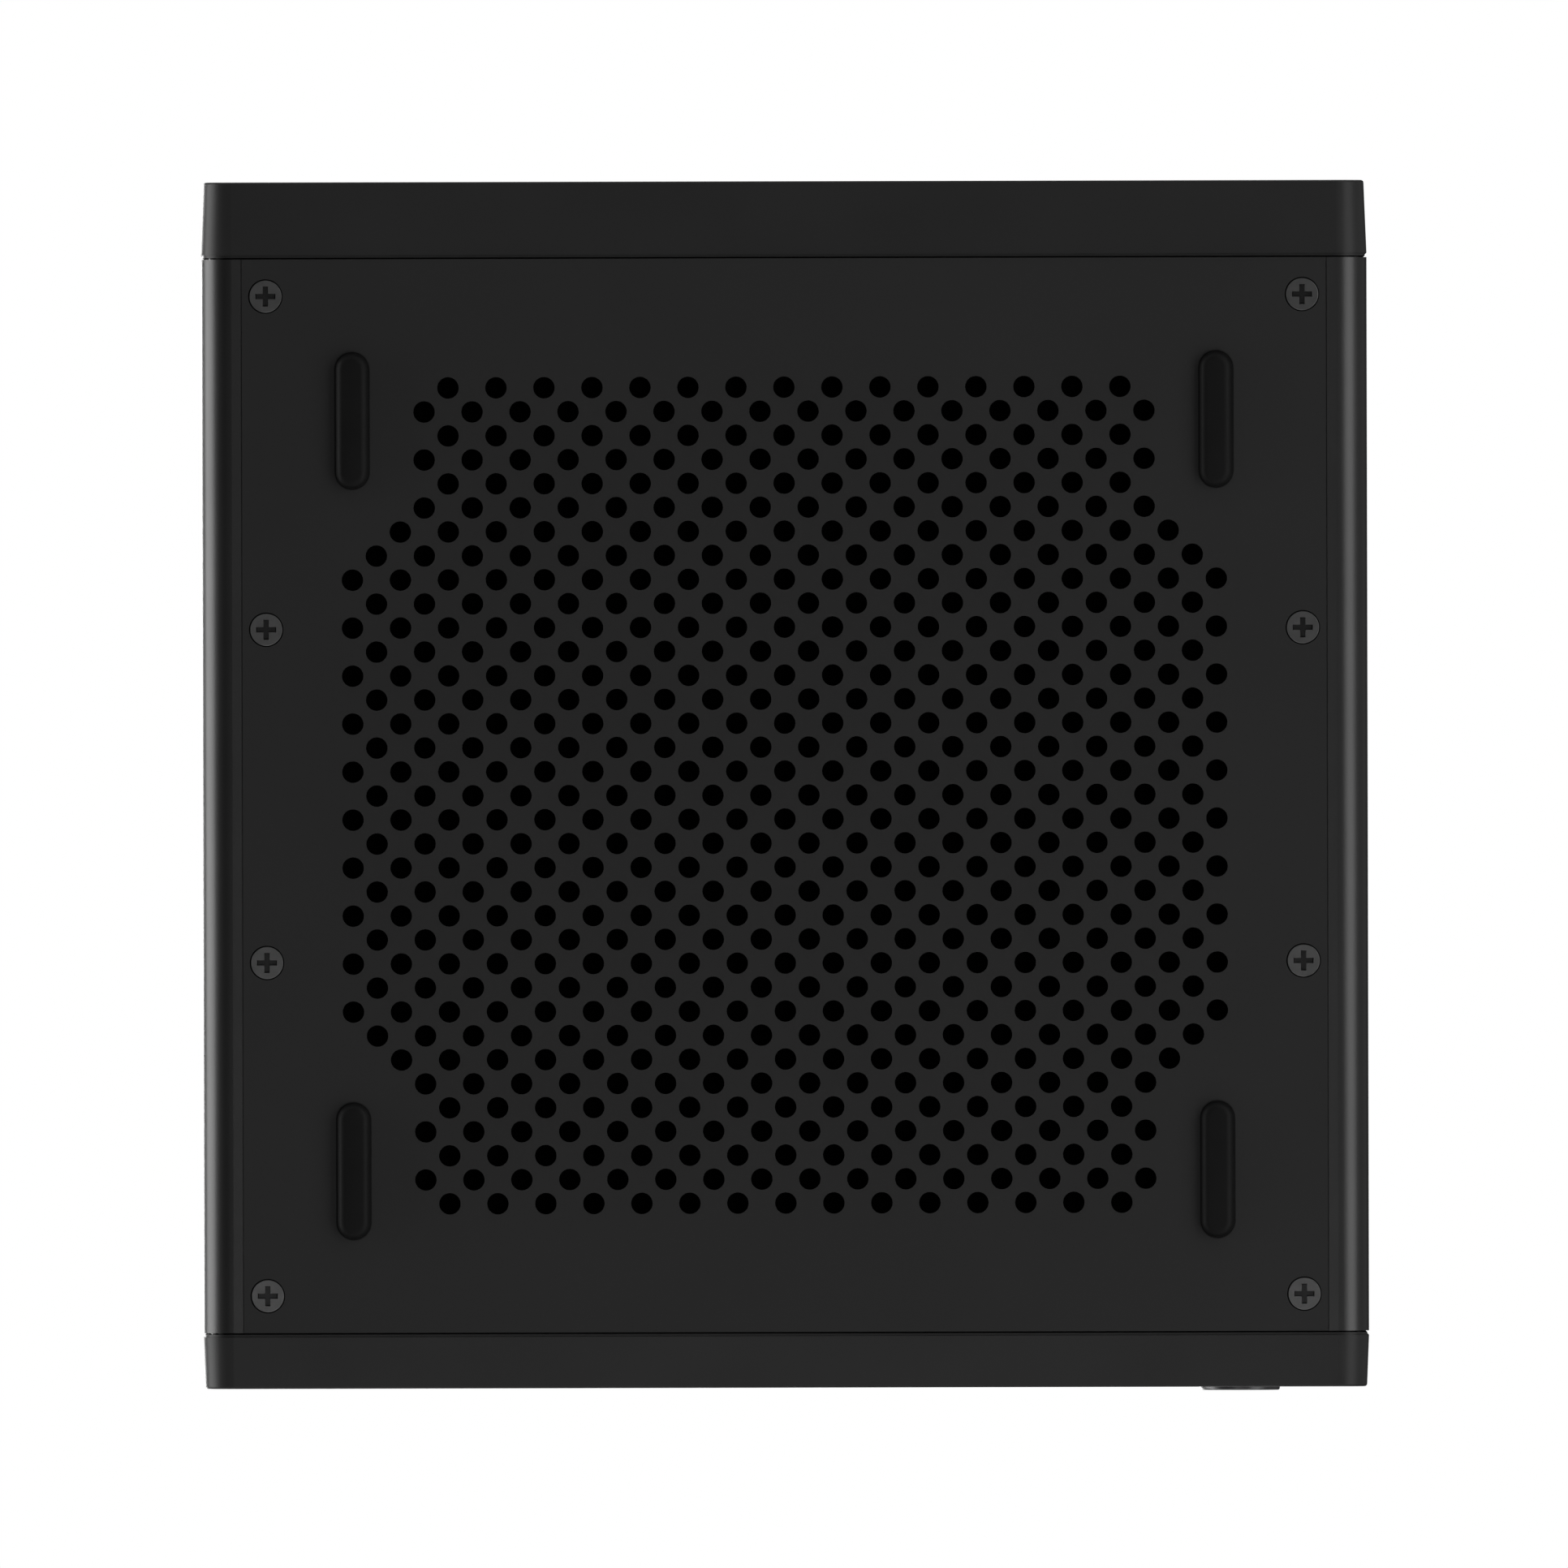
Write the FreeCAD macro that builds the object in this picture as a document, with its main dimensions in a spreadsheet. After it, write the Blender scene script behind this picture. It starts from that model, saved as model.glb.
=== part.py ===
import FreeCAD, Part
import math
import os
import re
import Sketcher

# A desktop mini computer, standing on four rubber feet. The frame is +Z up with the front
# (power button) towards -Y; the origin is the middle of the footprint at the feet's soles.
# An extruded aluminium sleeve carries a drafted plastic bezel at each end and a perforated
# panel underneath. Inside, a folded steel frame hangs the mainboard, which has its parts
# and sockets on its underside, with a blower and a drive fan above the panel's holes.

# ---------------------------------------------------------------- sizes, in millimetres
SIZES = {
    # housing
    "body_width": 189,
    "body_height": 46,
    "sleeve_length": 174,
    "sleeve_wall": 1.2,
    "corner_radius": 5,
    "flange_width": 6.5,
    "ledge_reach": 9,
    "ledge_thickness": 3,
    # gaps between neighbouring pieces
    "seam_gap": 0.15,
    "end_gap": 0.25,
    "fit_gap": 0.15,
    "port_gap": 0.25,
    "run_gap": 0.3,
    "shaft_gap": 0.05,
    # bezels
    "rear_depth": 12.25,
    "front_depth": 8.8,
    "bezel_wall": 2,
    "bezel_draft": 2.3,
    "bezel_edge_radius": 0.45,
    "rebate_depth": 0.28,
    "rebate_length": 0.45,
    "neck_length": 2,
    "neck_wall": 1.2,
    "neck_overlap": 2,
    "lug_thickness": 2,
    "lug_margin": 4,
    "vent_slot_width": 2.6,
    "vent_slot_height": 9,
    "vent_slot_pitch": 5,
    "vent_slot_margin": 20,
    # bottom panel, its screws and the feet
    "panel_thickness": 1.5,
    "screw_edge": 4,
    "screw_end": 6,
    "screw_rows": 4,
    "head_radius": 2.62,
    "sink_radius": 2.8,
    "thread_radius": 1.5,
    "clearance_radius": 1.7,
    "panel_screw_length": 8,
    "recess_arm": 3.25,
    "recess_width": 0.85,
    "recess_depth": 0.9,
    "vent_pitch": 7.7782,
    "vent_radius": 1.75,
    "vent_side_margin": 17.5,
    "vent_end_margin": 20,
    "foot_height": 2,
    "foot_width": 5.75,
    "foot_length": 22.4,
    "foot_rounding": 1.4,
    "foot_side": 18,
    "foot_end": 26.2,
    "mesh_thickness": 0.3,
    "mesh_margin": 3,
    # inner frame
    "frame_sheet": 1.2,
    "frame_bend": 0.5,
    "frame_end_gap": 2.3,
    "nut_radius": 2.8,
    "nut_height": 1.6,
    "standoff_height": 3,
    "standoff_radius": 2.4,
    "window_width": 56,
    "window_length": 44,
    "window_corner": 4,
    "window_pitch_x": 92,
    "window_pitch_y": 66,
    # boards
    "component_space": 20.5,
    "board_thickness": 1.6,
    "board_side_gap": 9.3,
    "board_rear_gap": 1.45,
    "board_gap": 3,
    "front_board_gap": 2.6,
    "front_board_depth": 21,
    "front_board_length": 124,
    "hole_inset": 3,
    "port_space": 24,
    "small_thread_radius": 1.25,
    "small_screw_length": 4.2,
    "pan_head_radius": 2.3,
    "pan_head_height": 1.5,
    # processor cooler
    "package_width": 36,
    "package_length": 28,
    "package_height": 1.3,
    "die_size": 14,
    "die_height": 0.4,
    "plate_size": 42,
    "plate_thickness": 3.1,
    "pipe_width": 7,
    "pipe_height": 3,
    "pipe_spacing": 11,
    "pipe_bend_radius": 10,
    "pipe_side_gap": 4,
    "fin_width": 54,
    "fin_depth": 20,
    "fin_thickness": 0.4,
    "fin_pitch": 2,
    "fin_rear_gap": 3.5,
    "blower_size": 76,
    "blower_height": 12,
    "blower_wall": 1.5,
    "blower_corner": 6,
    "blower_floor_gap": 1.5,
    "axial_gap": 0.5,
    "rotor_radius": 31,
    "rotor_sweep_gap": 3,
    "rotor_eye_radius": 23,
    "rotor_disc": 1,
    "hub_radius": 13,
    "blade_count": 29,
    "blade_thickness": 0.8,
    "shaft_radius": 2.5,
    # drive fan
    "fan_size": 60,
    "fan_thickness": 10,
    "fan_bore_radius": 28.5,
    "fan_hole_pitch": 50,
    "fan_hole_radius": 1.6,
    "fan_strut_width": 2,
    "fan_mount_thickness": 2,
    "fan_hub_radius": 12,
    "fan_blade_count": 9,
    "spacer_radius": 2.3,
    # memory
    "ram_length": 69.6,
    "ram_depth": 30,
    "ram_thickness": 1.2,
    "ram_chip_thickness": 1,
    "ram_chip_width": 10,
    "ram_socket_length": 73.6,
    "ram_socket_depth": 6,
    "ram_socket_height": 5.2,
    "ram_seat": 3,
    "ram_drop": 2.6,
    "ram_pitch": 35,
    "ram_side_inset": 43,
    "latch_length": 24,
    "latch_thickness": 0.8,
    "latch_height": 2.4,
    "latch_hook": 1.4,
    # solid-state drives and the radio card
    "card_width": 22,
    "card_length": 80,
    "card_thickness": 0.8,
    "card_chip_thickness": 1.2,
    "card_drop": 2.4,
    "card_pitch": 23,
    "card_seat": 3,
    "card_socket_depth": 6,
    "card_socket_height": 4.2,
    "card_notch_radius": 1.8,
    "radio_length": 30,
    "coin_radius": 10,
    "coin_height": 3.2,
    # drive bay above the frame
    "bay_drive_length": 100.2,
    "bay_drive_width": 69.85,
    "bay_drive_height": 7,
    "caddy_sheet": 1,
    "caddy_lip": 6,
    "flex_thickness": 0.3,
    "flex_width": 18,
    "flex_bend": 1.5,
    "plug_height": 1.6,
    # front sockets and power button
    "button_radius": 6.5,
    "button_proud": 0.65,
    "button_edge": 0.3,
    "button_side": 20.9,
    "button_gap": 0.15,
    "button_flange": 0.9,
    "button_flange_thickness": 1,
    "button_travel": 0.4,
    "switch_size": 6,
    "switch_depth": 3.6,
    "switch_setback": 4.5,
    "plunger_radius": 1.4,
    "front_axis_drop": 3,
    "front_pitch": 15,
    "usb_width": 13.1,
    "usb_height": 5.7,
    "usb_depth": 14,
    "usb_wall": 0.3,
    "usb_tongue_width": 11.1,
    "usb_tongue_height": 1.84,
    "usb_tongue_setback": 1.5,
    "usb_c_width": 9,
    "usb_c_height": 3.2,
    "usb_c_depth": 7.5,
    "usb_c_tongue_width": 6.7,
    "usb_c_tongue_height": 0.7,
    "socket_back": 1.5,
    "audio_bore_radius": 1.8,
    "audio_barrel_radius": 3,
    "audio_barrel_length": 3.5,
    "audio_bore_length": 12,
    "audio_body_width": 7,
    "audio_body_depth": 10,
    "light_radius": 1,
    "light_length": 8,
    # rear sockets
    "port_spacing": 2.5,
    "port_side": 6,
    "stack_width": 14.5,
    "stack_height": 15.6,
    "stack_depth": 17.5,
    "lan_width": 16,
    "lan_height": 13.5,
    "lan_depth": 18,
    "lan_mouth_width": 11.8,
    "lan_mouth_height": 8,
    "lan_mouth_depth": 13,
    "lan_notch_width": 6.2,
    "lan_notch_height": 2.2,
    "hdmi_width": 15,
    "hdmi_height": 6,
    "hdmi_depth": 12,
    "hdmi_tongue_width": 11.6,
    "hdmi_tongue_height": 1.2,
    "inlet_width": 9,
    "inlet_height": 11,
    "inlet_depth": 14,
    "inlet_bore_radius": 3.2,
    "inlet_bore_depth": 10,
    "inlet_pin_radius": 1.1,
    "socket_recess": 0.3,
    "shield_sheet": 0.6,
    "shield_margin": 1.5,
    # antennas and their leads
    "antenna_width": 10,
    "antenna_thickness": 0.3,
    "antenna_side": 9,
    "lead_radius": 0.6,
    "lead_bend_radius": 3,
    "rear_lead_step": 8,
    "front_lead_step": 13,
}

# Places worked out from the sizes. Each may use sizes and the places above it.
PLACES = {
    "half": "body_width / 2",
    "flange_edge": "half - flange_width",
    "panel_half": "flange_edge - seam_gap",
    "ledge_edge": "flange_edge - ledge_reach",
    "inner_half": "half - sleeve_wall",
    "mid": "(front_depth + button_proud - rear_depth) / 2",
    "end": "sleeve_length / 2",
    "deck": "foot_height + panel_thickness",
    "ledge_top": "deck + ledge_thickness",
    "lug_under": "ledge_top + frame_sheet",
    "roof": "foot_height + body_height - sleeve_wall",
    "body_middle": "foot_height + body_height / 2",
    "rear_inner": "mid + end + end_gap",
    "rear_face": "rear_inner + rear_depth",
    "rear_wall": "rear_face - bezel_wall",
    "front_inner": "mid - end - end_gap",
    "front_face": "front_inner - front_depth",
    "front_wall": "front_face + bezel_wall",
    "screw_x": "flange_edge - screw_edge",
    "screw_y": "end - screw_end",
    "foot_x": "flange_edge - foot_side",
    "foot_y": "end - foot_end",
    "vent_columns": "floor((flange_edge - vent_side_margin) / vent_pitch)",
    "vent_rows": "floor((end - vent_end_margin) / vent_pitch * 2) + 1",
    "mesh_half_width": "vent_columns * vent_pitch + vent_radius + mesh_margin",
    "mesh_half_length": "(vent_rows - 1) / 2 * vent_pitch + vent_radius + mesh_margin",
    # inner frame and boards
    "frame_half": "inner_half - run_gap",
    "leg_inner": "frame_half - frame_sheet",
    "frame_end": "end - frame_end_gap",
    "board_under": "deck + component_space",
    "board_top": "board_under + board_thickness",
    "web_under": "board_top + standoff_height",
    "web_top": "web_under + frame_sheet",
    "board_half": "inner_half - board_side_gap",
    "board_rear": "rear_wall - board_rear_gap",
    "front_board_front": "front_wall + front_board_gap",
    "front_board_rear": "front_board_front + front_board_depth",
    "board_front": "front_board_rear + board_gap",
    "socket_face": "rear_face - socket_recess",
    "front_socket_face": "front_face + socket_recess",
    "front_axis": "board_under - front_axis_drop",
    # cooler, kept to the rear left corner of the board
    "fin_rear": "rear_wall - fin_rear_gap",
    "fin_front": "fin_rear - fin_depth",
    "fin_y": "fin_rear - fin_depth / 2",
    "blower_under": "deck + blower_floor_gap",
    "blower_top": "blower_under + blower_height",
    "blower_x": "-ledge_edge + run_gap + blower_size / 2",
    "blower_y": "fin_front - run_gap - blower_size / 2",
    "rotor_height": "blower_height - 2 * blower_wall - 2 * axial_gap",
    "rotor_under": "blower_under + blower_wall + axial_gap",
    "package_under": "board_under - package_height",
    "plate_top": "package_under - die_height",
    "plate_under": "plate_top - plate_thickness",
    "pipe_under": "plate_under - pipe_height",
    "fin_under": "ledge_top + fit_gap + neck_wall + run_gap",
    "fin_height": "pipe_under - fin_under",
    "pipe_x": "blower_x + blower_size / 2 + pipe_side_gap + pipe_width / 2",
    "plate_x": "pipe_x + pipe_spacing / 2",
    "plate_hole": "plate_size / 2 - pan_head_radius - 0.7",
    # drives and fan, kept to the front left; memory to the front right
    "card_x": "-board_half + 1.5",
    "card_y": "board_front + 17",
    "card_under": "board_under - card_drop - card_thickness",
    "fan_x": "-board_half + 12 + fan_size / 2",
    "fan_y": "card_y + card_pitch / 2",
    "fan_top": "blower_under + fan_thickness",
    "ram_x": "board_half - ram_side_inset",
    "ram_y": "board_front + 3",
    "ram_under": "board_under - ram_drop - ram_thickness",
    "ram_edge": "ram_length / 2 + run_gap",
    # radio card, coin cell and rear sockets on the right
    "radio_x": "board_half - 26",
    "radio_y": "ram_y + 2 * ram_pitch + 8",
    "coin_x": "board_half - 24",
    "coin_y": "board_rear - 34",
    "inlet_x": "board_half - port_side",
    "hdmi_x": "inlet_x - inlet_width / 2 - port_spacing - hdmi_width / 2",
    "stack_x": "hdmi_x - hdmi_width / 2 - port_spacing - stack_width / 2",
    "lan_x": "stack_x - stack_width / 2 - port_spacing - lan_width / 2",
    "rear_c_x": "lan_x - lan_width / 2 - port_spacing - usb_c_width / 2",
    "shield_left": "rear_c_x - usb_c_width / 2 - 2 * shield_margin",
    "shield_right": "inlet_x + inlet_width / 2 + 2 * shield_margin",
    "shield_low": "board_under - stack_height - 2 * shield_margin",
    "shield_high": "board_top + 2 * shield_margin",
    # front sockets, from left to right
    "button_x": "-half + button_side",
    "light_x": "button_x + front_pitch",
    "audio_x": "light_x + front_pitch",
    "front_c_x": "audio_x + front_pitch",
    "front_usb_x": "front_c_x + front_pitch + 5",
    "front_board_left": "button_x - switch_size",
    # leads and flat cables
    "lead_x": "(board_half + leg_inner) / 2",
    "antenna_x": "inner_half - antenna_side",
    "antenna_z": "web_top + 2",
    "antenna_height": "roof - 2 - antenna_z",
    "flex_x": "(window_pitch_x - window_width) / 2",
    "drive_x": "flex_x - bay_drive_length / 2",
    "drive_under": "web_top + caddy_sheet",
    "flex_y": "mid + window_pitch_y / 2 - 12",
}

node_names = []


def full(text):
    """A formula as FreeCAD reads it, with each name's home in front of it."""
    def spell(match):
        word = match[0]
        home = "Places" if word in PLACES else "Sizes" if word in SIZES else ""
        return f"{home}.{word}" if home else word
    return re.sub(r"[a-z][a-z_0-9]*", spell, str(text))


def value(text):
    """The number that a formula gives now."""
    return float(sheet.evalExpression(full(text)))


def bind(thing, **formulas):
    """Ties properties to formulas; x, y and z stand for the placement's base."""
    for name, formula in formulas.items():
        path = f"Placement.Base.{name}" if name in ("x", "y", "z") else name
        thing.setExpression(path, full(formula))
    return thing


def node(label, thing):
    """Marks an object as a finished piece, to be written out under its label."""
    thing.Label = label
    node_names.append(thing.Name)
    return thing


# ---------------------------------------------------------------- part workbench helpers
def box(x, y, z, length, width, height):
    """A block given by its lowest corner and its three sizes."""
    made = doc.addObject("Part::Box", "Block")
    return bind(made, x=x, y=y, z=z, Length=length, Width=width, Height=height)


def centred_box(x, y, z, length, width, height):
    """A block centred on x and y that stands on z."""
    return box(f"{x} - ({length}) / 2", f"{y} - ({width}) / 2", z, length, width, height)


def rod(x, y, z, radius, length, along="Z"):
    """A round bar that starts at x, y, z and runs along +Z, or along +Y."""
    made = doc.addObject("Part::Cylinder", "Rod")
    if along == "Y":
        turn = FreeCAD.Rotation(FreeCAD.Vector(1, 0, 0), -90)
        made.Placement = FreeCAD.Placement(FreeCAD.Vector(), turn)
    return bind(made, x=x, y=y, z=z, Radius=radius, Height=length)


def group(pieces):
    """Separate solids kept in one object."""
    made = doc.addObject("Part::Compound", "Group")
    made.Links = pieces
    return made


def fuse(pieces):
    made = doc.addObject("Part::MultiFuse", "Fused")
    made.Shapes = pieces
    made.Refine = True
    return made


def cut(base, tools):
    made = doc.addObject("Part::Cut", "Cut")
    made.Base = base
    made.Tool = tools[0] if len(tools) == 1 else fuse(tools)
    return made


# ---------------------------------------------------------------- part design helpers
def new_body(x="0", y="0", z="0"):
    return bind(doc.addObject("PartDesign::Body", "Body"), x=x, y=y, z=z)


def origin_part(body, role):
    return [feature for feature in body.Origin.OriginFeatures if feature.Role == role][0]


def new_sketch(body, plane, x="0", y="0", lift="0"):
    """A sketch on an origin plane, shifted in the plane and lifted along its normal."""
    made = body.newObject("Sketcher::SketchObject", "Sketch")
    made.AttachmentSupport = [(origin_part(body, f"{plane}_Plane"), "")]
    made.MapMode = "FlatFace"
    for name, formula in (("x", x), ("y", y), ("z", lift)):
        made.setExpression(f"AttachmentOffset.Base.{name}", full(formula))
    return made


def dimension(profile, kind, where, formula):
    """A driving dimension whose number comes from a formula."""
    index = profile.addConstraint(Sketcher.Constraint(kind, *where, value(formula)))
    profile.setExpression(f"Constraints[{index}]", full(formula))


def pin_point(profile, edge, end, point):
    """Ties one end of a sketch edge to its x and y formulas."""
    dimension(profile, "DistanceX", (-1, 1, edge, end), point[0])
    dimension(profile, "DistanceY", (-1, 1, edge, end), point[1])


def vector(point):
    return FreeCAD.Vector(value(point[0]), value(point[1]), 0)


def towards(corner, neighbour):
    """The point one corner radius from a corner towards its neighbour, along x or y."""
    x, y, radius = corner
    run = vector(neighbour) - vector(corner)
    if abs(run.x) > abs(run.y):
        return (f"{x} {'+' if run.x > 0 else '-'} ({radius})", y)
    return (x, f"{y} {'+' if run.y > 0 else '-'} ({radius})")


def join(profile, first_edge, first_end, second_edge, second_end):
    profile.addConstraint(
        Sketcher.Constraint("Coincident", first_edge, first_end, second_edge, second_end))


def outline(profile, corners):
    """A closed outline through corners (x, y), or (x, y, radius) where it is rounded."""
    count = len(corners)
    ends = []
    for i, corner in enumerate(corners):
        before, after = corners[i - 1], corners[(i + 1) % count]
        if len(corner) == 2:
            ends.append((corner, corner))
        else:
            ends.append((towards(corner, before), towards(corner, after)))
    lines = []
    for i in range(count):
        start, stop = ends[i][1], ends[(i + 1) % count][0]
        lines.append(profile.addGeometry(Part.LineSegment(vector(start), vector(stop)), False))
    for i, corner in enumerate(corners):
        pin_point(profile, lines[i], 1, ends[i][1])
        if len(corner) == 2:
            join(profile, lines[i - 1], 2, lines[i], 1)
            continue
        pin_point(profile, lines[i - 1], 2, ends[i][0])
        first, last = vector(ends[i][0]), vector(ends[i][1])
        centre = first + last - vector(corner)
        radius = value(corner[2])
        middle = centre + (vector(corner) - centre).normalize() * radius
        arc = profile.addGeometry(Part.Arc(first, middle, last), False)
        entry, leave = (1, 2) if (profile.getPoint(arc, 1) - first).Length < radius / 2 else (2, 1)
        join(profile, arc, entry, lines[i - 1], 2)
        join(profile, arc, leave, lines[i], 1)
        dimension(profile, "Radius", (arc,), corner[2])


def rounded(x, y, length, height, radius):
    """The four corners of a rounded rectangle centred on x and y."""
    left, right = f"{x} - ({length}) / 2", f"{x} + ({length}) / 2"
    low, high = f"{y} - ({height}) / 2", f"{y} + ({height}) / 2"
    return [(left, low, radius), (right, low, radius), (right, high, radius), (left, high, radius)]


def square(x, y, length, height):
    return [corner[:2] for corner in rounded(x, y, length, height, "")]


def plus_shape(x, y, arm, width):
    """The twelve corners of a cross recess."""
    steps = [(arm, width), (width, width), (width, arm)]
    corners = []
    for sign_x, sign_y, order in (("+", "-", 1), ("+", "+", -1), ("-", "+", 1), ("-", "-", -1)):
        for across, up in (steps[::-1] if order == 1 else steps):
            corners.append((f"{x} {sign_x} ({across}) / 2", f"{y} {sign_y} ({up}) / 2"))
    return corners


def circle(profile, x, y, radius):
    ring = Part.Circle(vector((x, y)), FreeCAD.Vector(0, 0, 1), value(radius))
    edge = profile.addGeometry(ring, False)
    pin_point(profile, edge, 3, (x, y))
    dimension(profile, "Radius", (edge,), radius)


def pad(body, profile, length, back=False, both=False):
    """Adds the profile's extrusion along its normal, backwards, or half each way."""
    made = body.newObject("PartDesign::Pad", "Pad")
    made.Profile = profile
    made.Reversed = back
    made.Midplane = both
    return bind(made, Length=length)


def pocket(body, profile, length, back=False, both=False):
    """Cuts against the profile's normal, or along it with back, and checks that it cut."""
    doc.recompute()
    before = body.Shape.Volume
    made = body.newObject("PartDesign::Pocket", "Pocket")
    made.Profile = profile
    made.Reversed = back
    made.Midplane = both
    bind(made, Length=length)
    doc.recompute()
    if body.Shape.Volume > before - 1e-6:
        raise RuntimeError(f"{made.Name} in {body.Label} removes nothing")
    return made


def turned(body, profile, cutting=False):
    """Turns a profile round its sketch's vertical axis, adding or cutting."""
    kind = "PartDesign::Groove" if cutting else "PartDesign::Revolution"
    made = body.newObject(kind, "Turned")
    made.Profile = profile
    made.ReferenceAxis = (profile, ["V_Axis"])
    return made


def grid(body, features, columns, span_x, rows="1", span_y="1"):
    """Repeats features in columns along +X and rows along +Y, over the given spans."""
    made = body.newObject("PartDesign::LinearPattern", "Grid")
    made.Originals = features
    made.Direction = (origin_part(body, "X_Axis"), [""])
    bind(made, Length=span_x, Occurrences=columns)
    made.Direction2 = (origin_part(body, "Y_Axis"), [""])
    bind(made, Length2=span_y, Occurrences2=rows)
    body.Tip = made
    return made


def ring_of(body, features, count):
    """Repeats features round the body's own vertical axis."""
    made = body.newObject("PartDesign::PolarPattern", "Ring")
    made.Originals = features
    made.Axis = (origin_part(body, "Z_Axis"), [""])
    made.Angle = 360
    bind(made, Occurrences=count)
    body.Tip = made
    return made


def fillet(body, feature, wanted, radius):
    """Rounds the feature's edges whose bounding box passes the wanted test."""
    doc.recompute()
    edges = feature.Shape.Edges
    names = [f"Edge{i + 1}" for i, edge in enumerate(edges) if wanted(edge.BoundBox)]
    made = body.newObject("PartDesign::Fillet", "Fillet")
    made.Base = (feature, names)
    return bind(made, Radius=radius)


# ---------------------------------------------------------------- housing
def make_sleeve():
    """The extruded tube, open underneath between two thick flanges with inner ledges."""
    body = new_body(y="mid")
    profile = new_sketch(body, "XZ")
    top, inner_radius = "foot_height + body_height", "corner_radius - sleeve_wall"
    right = [("ledge_edge", "ledge_top"), ("ledge_edge", "deck"), ("flange_edge", "deck"),
             ("flange_edge", "foot_height"), ("half", "foot_height", "corner_radius"),
             ("half", top, "corner_radius")]
    left = [(f"-{corner[0]}", *corner[1:]) for corner in reversed(right)]
    cavity = [("-inner_half", "ledge_top"), ("-inner_half", "roof", inner_radius),
              ("inner_half", "roof", inner_radius), ("inner_half", "ledge_top")]
    outline(profile, right + left + cavity)
    pad(body, profile, "sleeve_length", both=True)
    holes = new_sketch(body, "XY", lift="ledge_top + 1")
    circle(holes, "-screw_x", "-screw_y", "clearance_radius")
    hole = pocket(body, holes, "ledge_thickness + 2")
    grid(body, [hole], "2", "2 * screw_x", "screw_rows", "2 * screw_y")
    return body


def make_bottom_panel():
    """The flat panel between the flanges: countersunk holes and a staggered field of vents."""
    body = new_body(y="mid", z="foot_height")
    profile = new_sketch(body, "XY")
    outline(profile, square("0", "0", "2 * panel_half", "sleeve_length"))
    pad(body, profile, "panel_thickness")
    section = new_sketch(body, "XZ", x="-screw_x", lift="screw_y")
    outline(section, [("0", "0"), ("sink_radius", "0"),
                      ("clearance_radius", "sink_radius - clearance_radius"),
                      ("clearance_radius", "panel_thickness"), ("0", "panel_thickness")])
    sink = turned(body, section, cutting=True)
    grid(body, [sink], "2", "2 * screw_x", "screw_rows", "2 * screw_y")

    # Rows and half-staggered rows fill the middle; three shorter pairs of columns end it.
    full_columns, full_rows = "vent_columns - 2", "vent_rows"
    fields = [(f"2 * ({full_columns}) + 1", full_columns, full_rows),
              (f"2 * ({full_columns}) + 2", f"{full_columns} + 0.5", f"{full_rows} - 1")]
    for step in (1, 2, 3):
        fields.append(("2", f"{full_columns} + 0.5 + {step} / 2", f"{full_rows} - 5 - {step}"))
    for columns, reach, rows in fields:
        field = new_sketch(body, "XY", lift="-1")
        edge_y = f"({rows} - 1) / 2 * vent_pitch"
        circle(field, f"-({reach}) * vent_pitch", f"-{edge_y}", "vent_radius")
        vent = pocket(body, field, "panel_thickness + 2", back=True)
        grid(body, [vent], columns, f"2 * ({reach}) * vent_pitch", rows, f"2 * {edge_y}")
    return body


def make_panel_screws():
    """Countersunk cross-head screws, heads flush with the panel's underside."""
    body = new_body(y="mid", z="foot_height")
    body.AllowCompound = True
    section = new_sketch(body, "XZ", x="-screw_x", lift="screw_y")
    rim = "sink_radius - head_radius"
    outline(section, [("0", "0"), ("head_radius", "0"), ("head_radius", rim),
                      ("thread_radius", f"{rim} + head_radius - thread_radius"),
                      ("thread_radius", "panel_screw_length"), ("0", "panel_screw_length")])
    shape = turned(body, section)
    cross = new_sketch(body, "XY")
    outline(cross, plus_shape("-screw_x", "-screw_y", "recess_arm", "recess_width"))
    recess = pocket(body, cross, "recess_depth", back=True)
    grid(body, [shape, recess], "2", "2 * screw_x", "screw_rows", "2 * screw_y")
    return body


def make_foot(x, y):
    """A pill-shaped rubber foot with a rounded sole."""
    body = new_body(x=x, y=y)
    profile = new_sketch(body, "XY")
    outline(profile, rounded("0", "0", "foot_width", "foot_length", "foot_width * 0.49"))
    block = pad(body, profile, "foot_height")
    fillet(body, block, lambda bounds: bounds.ZMax < 1e-6, "foot_rounding")
    return body


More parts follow.
